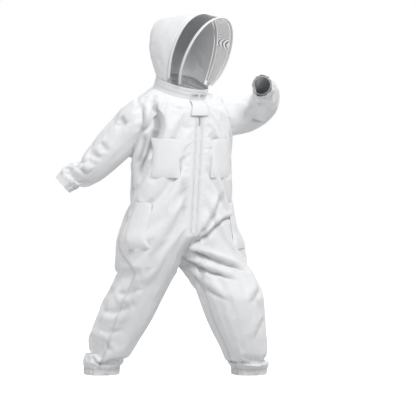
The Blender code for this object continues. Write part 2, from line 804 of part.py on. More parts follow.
def throat_flap():
    half = FLAP_WIDTH / 2
    rows = throat_rows((-half, half), FLAP_ROWS, FLAP_STAND)
    flap = sheet("throat_flap", rows, FLAP_WALL, (0, -1, 0), CLOTH)
    grip = GRIP_WIDTH / 2
    centre = half - GRIP_WIDTH * 0.75
    reach = (-centre - grip, -centre + grip)
    hooks = throat_rows(reach, GRIP_ROWS, FLAP_STAND - FLAP_WALL - 3 * FIT, 2)
    hook = sheet("throat_hook_patch", hooks, GRIP_WALL, (0, -1, 0), GRIP)
    loops = throat_rows(reach, GRIP_ROWS, GRIP_WALL + 2 * FIT, 2)
    sheet("throat_loop_patch", loops, GRIP_WALL, (0, -1, 0), GRIP)
    top, bottom = flap_edge()
    pivot("flap_fold", top, (bottom - top).normalized(), [flap, hook])


# ---- Hood ----------------------------------------------------------------------------
def hood_frame():
    return Matrix.Rotation(HOOD_TURN, 4, "Z")


ARCHES = [  # foot angle on the neck ring, then the shape of one side up to the crown
    (47, (0.165, -0.125, 0.050), (0.140, -0.235, 0.285), (0.0, -0.247, 0.289)),
    (74, (0.150, -0.060, 0.120), (0.135, -0.135, 0.305), (0.0, -0.140, 0.312)),
    (104, (0.140, 0.030, 0.130), (0.130, -0.020, 0.308), (0.0, -0.020, 0.311)),
    (134, (0.122, 0.098, 0.130), (0.122, 0.090, 0.306), (0.0, 0.092, 0.306)),
    (152, (0.080, 0.120, 0.130), (0.085, 0.120, 0.292), (0.0, 0.116, 0.296)),
    (180, (0.0, 0.122, 0.120), (0.0, 0.126, 0.200), (0.0, 0.126, 0.262)),
]


def arch_point(station, t, side):
    """A point of the hood: station is 0 at the face hoop, 1 at the rear hoop and 5 down
    the middle of the back; t is 0 at the foot and 1 on the crown."""
    table = [
        [angle, *a, *b, *c] for angle, a, b, c in ARCHES
    ]
    value = spline(table, station) if station > 1 else [
        p + (q - p) * station for p, q in zip(table[0], table[1])
    ]
    foot = hood_frame().inverted() @ neck_point(math.radians(value[0]), BAND_FOOT)
    corners = [foot, Vector(value[1:4]), Vector(value[4:7]), Vector(value[7:10])]
    point = bezier(corners, t)
    return hood_frame() @ Vector((side * point.x, point.y, point.z))


def arch_line(station, steps, start=0.0):
    """Foot to foot over the crown, from the wearer's right to the left."""
    shares = span(start, 1.0, steps)
    right = [arch_point(station, t, -1) for t in shares]
    left = [arch_point(station, t, 1) for t in shares]
    return right + left[-2::-1]


def moved_towards(line, other, distance):
    return [a + (b - a).normalized() * distance for a, b in zip(line, other)]


def hood_side_net():
    edge = TUNNEL_HALF_WIDTH + 3 * FIT
    face, rear = arch_line(0, 8), arch_line(1, 8)
    start, end = moved_towards(face, rear, edge), moved_towards(rear, face, edge)
    rows = [[a.lerp(b, share) for a, b in zip(start, end)] for share in span(0, 1, 3)]
    return sheet("hood_side_net", rows, NET, (0, 0, 1), VEIL)


def hood_face_net():
    """The flat oval window inside the face hoop, down to the band at the throat."""
    foot_angle = math.radians(ARCHES[0][0])
    edge = TUNNEL_HALF_WALL + 2 * FIT
    rows = []
    arc = [neck_point(a, BAND_FOOT + NET * 2) for a in span(-foot_angle, foot_angle, 8)]
    down = (arc[4] - arch_point(0, 1.0, 1)).normalized()
    for share in span(0.0, 0.9, 9):
        right, left = arch_point(0, share, -1), arch_point(0, share, 1)
        curve = max(0.0, 1 - share / 0.45) ** 2
        line = [right.lerp(left, s).lerp(b, curve) for s, b in zip(span(0, 1, 8), arc)]
        inset_right = (line[1] - line[0]).normalized() * edge
        inset_left = (line[-2] - line[-1]).normalized() * edge
        line[0], line[-1] = line[0] + inset_right, line[-1] + inset_left
        rows.append([point + down * 2.5 * edge * share**3 for point in line])
    return sheet("hood_face_net", rows, NET, (0, -1, 0), VEIL)


def hood_back():
    edge = TUNNEL_HALF_WIDTH + 3 * FIT
    rear, behind = arch_line(1, 8), arch_line(1.5, 8)
    rows = [moved_towards(rear, behind, edge)]
    rows += [arch_line(station, 8) for station in (1.5, 2.0, 2.5, 3.0, 3.5, 4.0, 4.5, 5.0)]
    return sheet("hood_back", rows, COTTON, (0, 0, 1), CLOTH, weld=True)


def hoop_rings(station, other, half_width, half_wall, start, count=8, steps=9):
    """Sections along a hoop, wide along the hood's surface and thin through it."""
    line = arch_line(station, steps, start)
    towards = arch_line(other, steps, start)
    rings = []
    for k, point in enumerate(line):
        ahead = (line[min(k + 1, len(line) - 1)] - line[max(k - 1, 0)]).normalized()
        wide = towards[k] - point
        wide = (wide - ahead * wide.dot(ahead)).normalized()
        thin = ahead.cross(wide)
        rings.append(
            [
                point
                + wide * half_width * math.cos(2 * math.pi * i / count)
                + thin * half_wall * math.sin(2 * math.pi * i / count)
                for i in range(count)
            ]
        )
    return rings


def hoop_tunnel(name, station, other):
    start = 0.045
    outer = hoop_rings(station, other, TUNNEL_HALF_WIDTH, TUNNEL_HALF_WALL, start)
    inner = hoop_rings(station, other, HOOP_BORE, HOOP_BORE, start)
    return add_object(name, rings_mesh(outer, inner), CLOTH)


def hoop_wire(name, station, other):
    return add_object(
        name, rings_mesh(hoop_rings(station, other, HOOP_RADIUS, HOOP_RADIUS, 0.052)), SPRING
    )


# ---- Assembly ------------------------------------------------------------------------
def build_body():
    torso = torso_solid(FIT * 2)
    holes = [armhole("armhole_right", RIGHT_ARM), armhole("armhole_left", LEFT_ARM)]
    fronts = {
        -1: front_panel(-1, "front_panel_right"),
        1: front_panel(1, "front_panel_left"),
    }
    back = back_bodice()
    back_panel(-1, "back_leg_right")
    back_panel(1, "back_leg_left")
    boolean(fronts[-1], holes[0])
    boolean(fronts[1], holes[1])
    for hole in holes:
        boolean(back, hole)
    for name, table in (("right", RIGHT_ARM), ("left", LEFT_ARM)):
        sleeve("sleeve_" + name, table, torso)
        cuff("cuff_" + name, table)
        wrist_elastic("wrist_elastic_" + name, table)
    for name, side in (("right", -1), ("left", 1)):
        hem(side, "hem_" + name)
        ankle_elastic(side, "ankle_elastic_" + name)
        patch_pocket("chest_pocket_" + name, side, CHEST_POCKET_DEPTH, (0.17, 0.56), (4.1, 6.05))
        patch_pocket("thigh_pocket_" + name, side, THIGH_POCKET_DEPTH, (0.50, 0.86), (7.0, 10.3))
    waist_elastic()


def build_zips():
    main_zip(-1, "zip_tape_right")
    main_zip(1, "zip_tape_left")
    neck_band(-1, "neck_band")
    neck_zip(-1, "neck_zip_lower")
    nape_strip(-1, "nape_strip")
    at = ZIP_LINE_TOP + ZIP_DIRECTION * (SLIDER_LENGTH * 0.5) - ZIP_OUT * CHAIN_BACK
    frame = zip_frame(at, ZIP_OUT, ZIP_DIRECTION)
    body, tab = slider("main_slider", frame), pull("main_pull", frame)
    pivot("main_slide", at, ZIP_DIRECTION, [body])
    pivot("main_pull_pin", pin_point(frame), frame.to_3x3() @ Vector((1, 0, 0)), [tab])
    for name, angle in (("right", -SLIDER_START), ("left", SLIDER_START)):
        frame = neck_slider_frame(angle)
        piece, tab = slider("neck_slider_" + name, frame), pull("neck_pull_" + name, frame)
        up = neck_frame().to_3x3() @ Vector((0, 0, 1))
        pivot("neck_slide_" + name, Vector((0, 0, 0)), up, [piece])
        pivot("neck_pull_pin_" + name, pin_point(frame), frame.to_3x3() @ Vector((1, 0, 0)), [tab])


def build_hood():
    pieces = [
        neck_band(1, "hood_band"),
        neck_zip(1, "neck_zip_upper"),
        nape_strip(1, "hood_nape_strip"),
        hood_side_net(),
        hood_face_net(),
        hood_back(),
        hoop_tunnel("face_hoop_tunnel", 0, 1),
        hoop_wire("face_hoop", 0, 1),
        hoop_tunnel("rear_hoop_tunnel", 1, 0),
        hoop_wire("rear_hoop", 1, 0),
    ]
    nape = neck_point(math.pi, 0.0, NECK_RADIUS + BAND_WALL * 0.4)
    pivot("hood_fold", nape, hood_frame().to_3x3() @ Vector((1, 0, 0)), pieces)


build_body()
build_zips()
throat_tab()
throat_flap()
build_hood()
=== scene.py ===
# A beekeeping suit as it is worn: white cotton overall, elastic cuffs and hems, and a
# hooped net hood on its own zip. The cloth is grown over the CAD panels and simulated.
import math
import json

import bpy
import bmesh
import numpy as np
from mathutils import Matrix, Vector
from mathutils.bvhtree import BVHTree

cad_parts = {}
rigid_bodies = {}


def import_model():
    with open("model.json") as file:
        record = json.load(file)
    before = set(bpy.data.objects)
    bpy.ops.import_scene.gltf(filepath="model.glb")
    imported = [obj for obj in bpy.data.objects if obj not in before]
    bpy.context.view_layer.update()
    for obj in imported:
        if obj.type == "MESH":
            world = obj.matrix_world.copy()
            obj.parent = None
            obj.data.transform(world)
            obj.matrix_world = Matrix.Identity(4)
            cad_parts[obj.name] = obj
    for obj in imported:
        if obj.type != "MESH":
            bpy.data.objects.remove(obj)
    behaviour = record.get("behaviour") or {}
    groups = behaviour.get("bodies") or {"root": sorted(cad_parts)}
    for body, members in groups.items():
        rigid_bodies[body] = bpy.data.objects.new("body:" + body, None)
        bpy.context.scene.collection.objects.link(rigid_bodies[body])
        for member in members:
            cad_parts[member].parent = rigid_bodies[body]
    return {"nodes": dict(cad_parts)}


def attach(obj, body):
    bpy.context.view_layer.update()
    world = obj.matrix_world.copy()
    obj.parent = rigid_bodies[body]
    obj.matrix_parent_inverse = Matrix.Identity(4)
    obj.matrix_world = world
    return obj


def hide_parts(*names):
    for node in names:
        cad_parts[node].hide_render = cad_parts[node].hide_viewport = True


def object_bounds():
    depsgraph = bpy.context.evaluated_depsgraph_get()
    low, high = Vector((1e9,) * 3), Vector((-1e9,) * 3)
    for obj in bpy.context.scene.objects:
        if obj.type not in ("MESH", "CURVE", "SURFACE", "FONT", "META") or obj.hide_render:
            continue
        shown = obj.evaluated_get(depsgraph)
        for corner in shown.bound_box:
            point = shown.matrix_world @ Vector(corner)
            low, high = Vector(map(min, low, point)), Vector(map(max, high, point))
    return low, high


for item in list(bpy.data.objects):
    bpy.data.objects.remove(item, do_unlink=True)
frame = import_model()
cadBox = [[round(float(v), 5) for v in corner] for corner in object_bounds()]
nodes = frame["nodes"]
sides = ("left", "right")
print("frame loaded", len(nodes), "nodes")


# Small helpers
def collection(name):
    made = bpy.data.collections.new(name)
    bpy.context.scene.collection.children.link(made)
    return made


pieces = collection("suit_cloth")
fittings = collection("suit_fittings")
studio = collection("studio")


def addMesh(name, mesh, where=None):
    obj = bpy.data.objects.new(name, mesh)
    (where or pieces).objects.link(obj)
    return obj


def meshFrom(name, points, faces):
    mesh = bpy.data.meshes.new(name)
    mesh.from_pydata(np.asarray(points).tolist(), [], [list(f) for f in faces])
    mesh.update()
    return mesh


def cadMesh(name):
    source = nodes[name].data
    points = np.empty(len(source.vertices) * 3)
    source.vertices.foreach_get("co", points)
    points = points.reshape(-1, 3) @ np.array(nodes[name].matrix_world)[:3, :3].T
    points += np.array(nodes[name].matrix_world)[:3, 3]
    faces = [tuple(p.vertices) for p in source.polygons]
    _, first, index = np.unique(
        np.round(points / 2e-5).astype(np.int64), axis=0, return_index=True, return_inverse=True
    )
    index = index.reshape(-1)
    faces = [tuple(index[v] for v in f) for f in faces]
    return points[first], [f for f in faces if len(set(f)) == len(f)]


def treeOf(points, faces):
    return BVHTree.FromPolygons([tuple(p) for p in points], [list(f) for f in faces])


def coords(mesh):
    points = np.empty(len(mesh.vertices) * 3)
    mesh.vertices.foreach_get("co", points)
    return points.reshape(-1, 3)


def normalsOf(mesh):
    values = np.empty(len(mesh.vertices) * 3)
    mesh.vertices.foreach_get("normal", values)
    return values.reshape(-1, 3)


def setCoords(mesh, points):
    mesh.vertices.foreach_set("co", np.ascontiguousarray(points, np.float64).reshape(-1))
    mesh.update()


def evaluated(obj, name):
    bpy.context.view_layer.update()
    graph = bpy.context.evaluated_depsgraph_get()
    return bpy.data.meshes.new_from_object(obj.evaluated_get(graph), depsgraph=graph)


def dropObject(obj):
    mesh = obj.data
    bpy.data.objects.remove(obj, do_unlink=True)
    bpy.data.meshes.remove(mesh)


def smoothstep(low, high, value):
    t = np.clip((np.asarray(value, float) - low) / (high - low), 0.0, 1.0)
    return t * t * (3 - 2 * t)


# Centre, axis and mean radius of a ring-shaped node.
def ringOf(name):
    points, _ = cadMesh(name)
    centre = points.mean(0)
    axis = np.linalg.svd(points - centre, full_matrices=False)[2][2]
    return centre, axis, np.linalg.norm(points - centre, axis=1).mean()


# The shell of the overall, one skin over every panel
shell = {
    "voxel": 0.0085,
    "plug": 0.006,
    "swell": 0.003,
}
panelNames = (
    ["back_bodice", "neck_band"]
    + [kind + "_" + side for side in sides for kind in
       ("front_panel", "back_leg", "sleeve", "cuff", "hem", "zip_tape")]
)
endRings = ["neck_band"] + [k + "_elastic_" + s for s in sides for k in ("wrist", "ankle")]


def discAt(centre, axis, radius, thick):
    turn = Vector(axis).to_track_quat("Z", "Y").to_matrix().to_4x4()
    bm = bmesh.new()
    bmesh.ops.create_cone(
        bm, cap_ends=True, segments=48, radius1=radius, radius2=radius, depth=thick,
        matrix=Matrix.Translation(Vector(centre)) @ turn,
    )
    points = [v.co[:] for v in bm.verts]
    faces = [tuple(v.index for v in f.verts) for f in bm.faces]
    bm.free()
    return np.array(points), faces


def voxelSkin():
    points, faces, start = [], [], 0
    plugs = []
    parts = [cadMesh(name) for name in panelNames]
    for ring in endRings:
        centre, axis, radius = ringOf(ring)
        disc = discAt(centre, axis, radius + 0.004, shell["plug"])
        plugs.append((ring, centre, axis, radius))
        parts.append(disc)
    for p, f in parts:
        points.append(p)
        faces += [tuple(v + start for v in face) for face in f]
        start += len(p)
    made = addMesh("skin", meshFrom("skin", np.concatenate(points), faces))
    swell = made.modifiers.new("swell", "DISPLACE")
    swell.mid_level = 0.0
    swell.strength = shell["swell"]
    voxel = made.modifiers.new("voxel", "REMESH")
    voxel.mode = "VOXEL"
    voxel.voxel_size = shell["voxel"]
    mesh = evaluated(made, "skin")
    dropObject(made)
    setCoords(mesh, coords(mesh) - normalsOf(mesh) * shell["swell"])
    return mesh, plugs


skinMesh, plugs = voxelSkin()
print("skin", len(skinMesh.vertices))


# Which panel each point of the skin belongs to
def distancesTo(points, names, reach=0.08):
    table = np.full((len(points), len(names)), reach)
    for k, name in enumerate(names):
        p, f = cadMesh(name)
        low, high = p.min(0) - reach, p.max(0) + reach
        tree = treeOf(p, f)
        near = np.where(((points > low) & (points < high)).all(1))[0]
        for i in near:
            found = tree.find_nearest(Vector(points[i]), reach)
            if found[0] is not None:
                table[i, k] = found[3]
    return table


# Opens the neck, cuffs and hems: what lies on a plug or on the neck band goes.
def trimSkin(mesh):
    points = coords(mesh)
    normal = normalsOf(mesh)
    gone = np.zeros(len(points), bool)
    for ring, centre, axis, radius in plugs:
        offset = points - centre
        along = offset @ axis
        across = np.linalg.norm(offset - along[:, None] * axis, axis=1)
        facing = np.abs(normal @ axis)
        gone |= (np.abs(along) < 0.022) & (across < radius - 0.006)
        gone |= (np.abs(along) < 0.012) & (across < radius + 0.010) & (facing > 0.75)
    table = distancesTo(points, panelNames)
    label = table.argmin(1)
    gone |= label == panelNames.index("neck_band")
    bm = bmesh.new()
    bm.from_mesh(mesh)
    bm.verts.ensure_lookup_table()
    bmesh.ops.delete(bm, geom=[bm.verts[i] for i in np.where(gone)[0]], context="VERTS")
    # Only the largest piece stays.
    bm.verts.ensure_lookup_table()
    bm.verts.index_update()
    left = set(range(len(bm.verts)))
    groups = []
    while left:
        start = left.pop()
        stack, group = [start], [start]
        while stack:
            for edge in bm.verts[stack.pop()].link_edges:
                for v in edge.verts:
                    if v.index in left:
                        left.discard(v.index)
                        stack.append(v.index)
                        group.append(v.index)
        groups.append(group)
    groups.sort(key=len)
    bmesh.ops.delete(bm, geom=[bm.verts[i] for g in groups[:-1] for i in g], context="VERTS")
    for _ in range(2):
        loose = [v for v in bm.verts if len(v.link_faces) < 2]
        bmesh.ops.delete(bm, geom=loose, context="VERTS")
    rim = [v for v in bm.verts if v.is_boundary]
    for _ in range(4):
        moved = {}
        for v in rim:
            mates = [e.other_vert(v).co for e in v.link_edges if e.is_boundary]
            if len(mates) == 2:
                moved[v] = v.co * 0.5 + (mates[0] + mates[1]) * 0.25
        for v, co in moved.items():
            v.co = co
    bm.to_mesh(mesh)
    bm.free()
    mesh.update()
    return mesh


# Brings each open rim to where the cloth really ends: under the neck band, at the cuffs and at
# the hems.
def drawRims(mesh):
    at = coords(mesh)
    counts = {}
    for poly in mesh.polygons:
        for key in poly.edge_keys:
            counts[key] = counts.get(key, 0) + 1
    rim = np.unique([v for key, n in counts.items() if n == 1 for v in key])
    for ring, centre, axis, radius in plugs:
        near = rim[np.linalg.norm(at[rim] - centre, axis=1) < radius + 0.045]
        offset = at[near] - centre
        along = offset @ axis
        across = offset - along[:, None] * axis
        spread = np.linalg.norm(across, axis=1)[:, None]
        if ring == "neck_band":
            band, _ = cadMesh(ring)
            high = (band - centre) @ axis
            level = high.min() if along.mean() < 0 else high.max()
            level *= 0.55
            wide = radius - 0.001
        else:
            cuffName = ring.replace("wrist_elastic", "cuff").replace("ankle_elastic", "hem")
            p, _ = cadMesh(cuffName)
            away = axis if (centre - at.mean(0)) @ axis > 0 else -axis
            level = ((p - centre) @ away).max() * (1 if away is axis else -1)
            wide = spread
        at[near] = centre + axis * level + across / spread * wide
    setCoords(mesh, at)


skinMesh = trimSkin(skinMesh)
drawRims(skinMesh)
skin = addMesh("skin", skinMesh)
print("trimmed", len(skinMesh.vertices), len(skinMesh.polygons))
bandTable = distancesTo(coords(skinMesh), panelNames)


def storeField(mesh, name, values):
    made = mesh.attributes.get(name) or mesh.attributes.new(name, "FLOAT", "POINT")
    made.data.foreach_set("value", np.asarray(values, np.float32))


def readField(mesh, name):
    values = np.empty(len(mesh.vertices), np.float32)
    mesh.attributes[name].data.foreach_get("value", values)
    return values.astype(float)


clothPanels = [n for n in panelNames if n != "neck_band"]
for name in clothPanels:
    storeField(skinMesh, "to_" + name, bandTable[:, panelNames.index(name)])

drape = {
    "frames": 24,
    "growth": 0.045,
    "massKg": 0.28,
    "tension": 20.0,
    "shear": 8.0,
    "bending": 4.0,
    "hold": 0.10,
    "gravity": 0.15,
}
rigidNames = ["throat_tab", "throat_flap", "neck_band", "zip_tape_left", "zip_tape_right"]
rigidTable = distancesTo(coords(skinMesh), rigidNames)
steady = rigidTable[:, 2:].min(1)
steady = np.minimum(steady, rigidTable[:, :2].min(1) + 0.004)
free = smoothstep(0.006, 0.040, steady)
for ring, centre, axis, radius in plugs[1:]:
    offset = coords(skinMesh) - centre
    along = np.abs(offset @ axis)
    near = np.linalg.norm(offset, axis=1) < radius + 0.05
    free = np.where(near, np.minimum(free, smoothstep(0.004, 0.045, along)), free)
storeField(skinMesh, "free", free)


def simulate(obj):
    group = obj.vertex_groups.new(name="hold")
    weight = 1.0 - free * (1.0 - drape["hold"])
    for w in np.unique(np.round(weight, 3)):
        group.add(np.where(np.round(weight, 3) == w)[0].tolist(), float(w), "REPLACE")
    cloth = obj.modifiers.new("drape", "CLOTH")
    values = cloth.settings
    values.quality = 5
    values.mass = drape["massKg"]
    values.tension_stiffness = drape["tension"]
    values.compression_stiffness = drape["tension"]
    values.shear_stiffness = drape["shear"]
    values.bending_stiffness = drape["bending"]
    values.air_damping = 2.0
    values.shrink_min = -drape["growth"]
    values.vertex_group_mass = "hold"
    values.pin_stiffness = 1.0
    values.effector_weights.gravity = drape["gravity"]
    cloth.collision_settings.use_collision = False
    cloth.point_cache.frame_start = 1
    cloth.point_cache.frame_end = drape["frames"]
    for step in range(1, drape["frames"] + 1):
        bpy.context.scene.frame_set(step)
    mesh = evaluated(obj, "draped")
    moved = coords(mesh)
    obj.modifiers.remove(cloth)
    bpy.context.scene.frame_set(1)
    bpy.data.meshes.remove(mesh)
    return moved


rest = coords(skinMesh)
moved = simulate(skin)
shift = np.linalg.norm(moved - rest, axis=1)
print("draped, mean move mm", round(shift.mean() * 1000, 1), "most", round(shift.max() * 1000, 1))
setCoords(skinMesh, moved)


# Finer mesh, then folds, seams and gathers, with painted shade marked in the fold and seam valleys
fine = skin.modifiers.new("fine", "SUBSURF")
fine.levels = fine.render_levels = 1
fineMesh = evaluated(skin, "suit")
dropObject(skin)
points = coords(fineMesh)
normal = normalsOf(fineMesh)
free = readField(fineMesh, "free")
fieldTable = np.stack([readField(fineMesh, "to_" + n) for n in clothPanels], axis=1)
order = np.argsort(fieldTable, axis=1)
rank = np.take_along_axis(fieldTable, order, axis=1)
panelOf = order[:, 0]
seamGap = rank[:, 1] - rank[:, 0]
print("fine", len(points))

# Each fold: its way over the cloth as (x, z) points on the front or back, the width and depth of its valley,
# how much of a ridge stands beside it, and, where given, how strongly painted shade darkens its valley in the
# cloth colour.
folds = {
    "armpitToHip": dict(at=((-.155, -.05), (-.15, -.10), (-.142, -.16), (-.156, -.22), (-.19, -.30),
                            (-.212, -.39), (-.242, -.48), (-.262, -.56)),
                        width=.015, depth=.022, ridge=.45, shade=1.15),
    "armpitShadow": dict(at=((-.185, -.20), (-.205, -.30), (-.232, -.38)), width=.014, depth=.012, ridge=-.5),
    "hipToPocket": dict(at=((-.165, -.50), (-.20, -.57), (-.24, -.65), (-.265, -.74)),
                        width=.012, depth=.010, ridge=.6),
    "crotchToHip": dict(at=((-.03, -.69), (.028, -.661), (.085, -.62), (.138, -.58), (.215, -.562)),
                        width=.009, depth=.014, ridge=-.5),
    "crotchToWaist": dict(at=((-.03, -.685), (.02, -.64), (.075, -.583), (.12, -.51), (.159, -.44)),
                          width=.012, depth=.010, ridge=-.7),
    "thighUpper": dict(at=((-.03, -.70), (.035, -.722), (.098, -.746), (.18, -.772), (.253, -.80)),
                       width=.010, depth=.018, ridge=-.6),
    "thighMiddle": dict(at=((-.032, -.725), (.033, -.779), (.11, -.808), (.20, -.831)),
                        width=.010, depth=.016, ridge=-.5),
    "thighLower": dict(at=((-.02, -.766), (.047, -.857), (.10, -.90), (.158, -.93)),
                       width=.013, depth=.009, ridge=-.6),
    "zipTop": dict(at=((.066, -.05), (.075, -.10), (.080, -.16)), width=.008, depth=.005, ridge=.5),
    "bellyLeft": dict(at=((.12, -.20), (.105, -.30), (.09, -.42)), width=.020, depth=.006, ridge=.5),
    "bellyMiddle": dict(at=((-.05, -.38), (-.04, -.47), (-.055, -.58)), width=.022, depth=.005, ridge=.5),
    "kneeRightA": dict(at=((-.34, -.86), (-.30, -.885), (-.25, -.88), (-.20, -.86)),
                       width=.016, depth=.008, ridge=.6, shade=.4),
    "kneeRightB": dict(at=((-.36, -.94), (-.33, -.965), (-.29, -.962), (-.24, -.945)),
                       width=.014, depth=.007, ridge=.6, shade=.35),
    "kneeRightC": dict(at=((-.38, -1.02), (-.35, -1.05), (-.31, -1.055), (-.27, -1.04)),
                       width=.014, depth=.006, ridge=.6, shade=.35),
    "shinRight": dict(at=((-.235, -.80), (-.250, -.90), (-.275, -1.0), (-.31, -1.10)),
                      width=.030, depth=.007, ridge=.3, shade=.25),
    "kneeLeft": dict(at=((.30, -.87), (.26, -.90), (.21, -.93)), width=.014, depth=.008, ridge=.6),
    "kneeLeftLow": dict(at=((.325, -1.0), (.285, -1.03), (.24, -1.10)), width=.014, depth=.006, ridge=.6),
    "elbowOuter": dict(at=((-.455, -.255), (-.43, -.275), (-.405, -.31), (-.37, -.345)),
                       width=.015, depth=.010, ridge=.7, shade=.45),
    "elbowInner": dict(at=((-.385, -.185), (-.365, -.215), (-.35, -.25), (-.325, -.285)),
                       width=.015, depth=.009, ridge=.7, shade=.40),
    "elbowMiddle": dict(at=((-.42, -.22), (-.40, -.25), (-.385, -.285), (-.35, -.315)),
                        width=.014, depth=.007, ridge=.6, shade=.30),
    "upperArm": dict(at=((-.37, -.125), (-.34, -.15), (-.30, -.165), (-.25, -.15)),
                     width=.018, depth=.007, ridge=.6, shade=.3),
    "shoulderRight": dict(at=((-.25, -.055), (-.27, -.09), (-.275, -.13), (-.262, -.175)),
                          width=.018, depth=.009, ridge=.5, shade=.35),
    "armpitRight": dict(at=((-.15, -.09), (-.17, -.15), (-.195, -.19), (-.215, -.23)),
                        width=.014, depth=.012, ridge=.4, shade=.45),
    "forearmRight": dict(at=((-.475, -.30), (-.455, -.335), (-.43, -.36), (-.40, -.385)),
                         width=.010, depth=.007, ridge=.6, shade=.4),
    "elbowLeft": dict(at=((.30, -.135), (.335, -.15), (.37, -.15), (.405, -.12)),
                      width=.010, depth=.010, ridge=-.7, shade=.7),
    "elbowLeftUpper": dict(at=((.265, -.16), (.28, -.11), (.30, -.08), (.345, -.07)),
                           width=.013, depth=.008, ridge=.5, shade=.4),
    "backWaistA": dict(back=True, at=((-.18, -.42), (-.06, -.45), (.05, -.44)),
                       width=.016, depth=.008, ridge=.6),
    "backWaistB": dict(back=True, at=((.17, -.40), (.08, -.47), (-.03, -.50)),
                       width=.016, depth=.008, ridge=.6),
    "backSeatA": dict(back=True, at=((.0, -.72), (-.08, -.77), (-.17, -.80)),
                      width=.013, depth=.010, ridge=.6),
    "backSeatB": dict(back=True, at=((.0, -.73), (.09, -.78), (.17, -.83)),
                      width=.013, depth=.010, ridge=.6),
    "backShoulder": dict(back=True, at=((-.16, -.10), (-.13, -.20), (-.14, -.30)),
                         width=.018, depth=.008, ridge=.5),
    "backShoulderL": dict(back=True, at=((.16, -.10), (.14, -.20), (.13, -.28)),
                          width=.018, depth=.008, ridge=.5),
}


# A Catmull-Rom line through the points, sampled about every step.
def smoothLine(controls, step):
    controls = [np.array(p, float) for p in controls]
    padded = [2 * controls[0] - controls[1]] + controls + [2 * controls[-1] - controls[-2]]
    line = []
    for k in range(1, len(padded) - 2):
        a, b, c, d = padded[k - 1:k + 3]
        count = max(2, int(np.linalg.norm(c - b) / step))
        for t in np.arange(count) / count:
            line.append(0.5 * (2 * b + (c - a) * t + (2 * a - 5 * b + 4 * c - d) * t * t
                               + (3 * b - 3 * c + d - a) * t ** 3))
    line.append(controls[-1])
    return np.array(line)


# Distance of each point to a line, how far along it, and on which side.
def lineDistance(at, line):
    best = np.full(len(at), 1e9)
    along = np.zeros(len(at))
    where = np.zeros((len(at), 3))
    tangent = np.zeros((len(at), 3))
    total = np.concatenate([[0], np.cumsum(np.linalg.norm(np.diff(line, axis=0), axis=1))])
    for k in range(len(line) - 1):
        a, b = line[k], line[k + 1]
        run = b - a
        t = np.clip(((at - a) @ run) / (run @ run), 0, 1)
        spot = a + t[:, None] * run
        d = np.linalg.norm(at - spot, axis=1)
        closer = d < best
        best[closer] = d[closer]
        along[closer] = (total[k] + t[closer] * (total[k + 1] - total[k])) / total[-1]
        where[closer] = spot[closer]
        tangent[closer] = run / np.linalg.norm(run)
    return best, along, where, tangent


# Painted shade: how much the cloth colour is darkened at each point, in fold and seam valleys.
creaseShade = np.zeros(len(points))


def carveFolds():
    global points
    faces = [tuple(p.vertices) for p in fineMesh.polygons]
    tree = treeOf(points, faces)
    push = np.zeros(len(points))
    for name, fold in folds.items():
        way = -1 if fold.get("back") else 1
        flat = smoothLine([(x, 0, z) for x, z in fold["at"]], 0.012)
        line = []
        for x, _, z in flat:
            hit = tree.ray_cast(Vector((x, -way * 1.0, z)), Vector((0, way, 0)))
            if hit[0] is not None:
                line.append(np.array(hit[0]))
        if len(line) < 3:
            print("fold misses the cloth:", name)
            continue
        line = np.array(line)
        width, depth = fold["width"], fold["depth"]
        reach = width * 6
        near = ((points > line.min(0) - reach) & (points < line.max(0) + reach)).all(1)
        at = points[near]
        d, along, where, tangent = lineDistance(at, line)
        side = np.sign(np.einsum("ij,ij->i", np.cross(tangent, normal[near]), at - where))
        signed = d * side
        wander = 1 + 0.25 * np.sin(along * 9 + len(name))
        taper = smoothstep(0, 0.22, along) * smoothstep(0, 0.3, 1 - along)
        valley = np.exp(-(signed / (width * wander)) ** 2)
        ridge = abs(fold["ridge"]) * np.exp(
            -((signed - math.copysign(2.1 * width, fold["ridge"])) / (1.5 * width)) ** 2)
        facing = smoothstep(-0.2, 0.2, -way * normal[near][:, 1] + 0.25)
        push[near] += depth * taper * (ridge - valley) * facing
        # Painted shade: the fold's valley is marked to darken the cloth colour, by its shade value or else by
        # its depth.
        shadeAmount = fold.get("shade", min(1.0, depth / 0.016))
        creaseShade[near] = np.maximum(creaseShade[near], shadeAmount * taper * valley ** 2 * facing)
    points = points + normal * (push * smoothstep(0.0, 0.5, free))[:, None]


# Smooth noise from a few sine waves in turned directions.
def noiseField(at, scale, seed):
    draw = np.random.default_rng(seed)
    total = np.zeros(len(at))
    for k in range(7):
        way = draw.normal(size=3)
        way /= np.linalg.norm(way)
        wave = 2 * math.pi / (scale * draw.uniform(0.6, 1.7))
        total += np.sin(at @ way * wave + draw.uniform(0, 2 * math.pi))
    return total / 7


gather = {"reach": 0.060, "depth": 0.062, "pitch": 0.021}
seam = {"sink": 0.0013, "width": 0.0035, "pucker": 0.0011, "shade": 0.45}


# Ruffles where elastic draws in the cuffs and hems.
def gatherEnds():
    global points
    for ring, centre, axis, radius in plugs[1:]:
        offset = points - centre
        along = offset @ axis
        near = (np.abs(along) < gather["reach"] + 0.02) & (np.linalg.norm(offset, axis=1) < radius + 0.09)
        across = offset[near] - along[near][:, None] * axis
        first = np.cross(axis, (0.3, 0.2, 0.93))
        first /= np.linalg.norm(first)
        second = np.cross(axis, first)
        angle = np.arctan2(across @ second, across @ first)
        count = round(2 * math.pi * radius / gather["pitch"])
        wave = angle * count + 1.7 * np.sin(angle * 3 + radius * 40) + 0.8 * np.sin(angle * 7 + 2)
        strength = 1 - smoothstep(0.0, gather["reach"], np.abs(along[near]))
        ruffle = np.sin(wave) * (0.65 + 0.35 * np.sin(angle * 5 + along[near] * 40))
        outward = across / np.maximum(np.linalg.norm(across, axis=1), 1e-6)[:, None]
        points[near] += outward * (gather["depth"] * radius * strength * ruffle)[:, None]


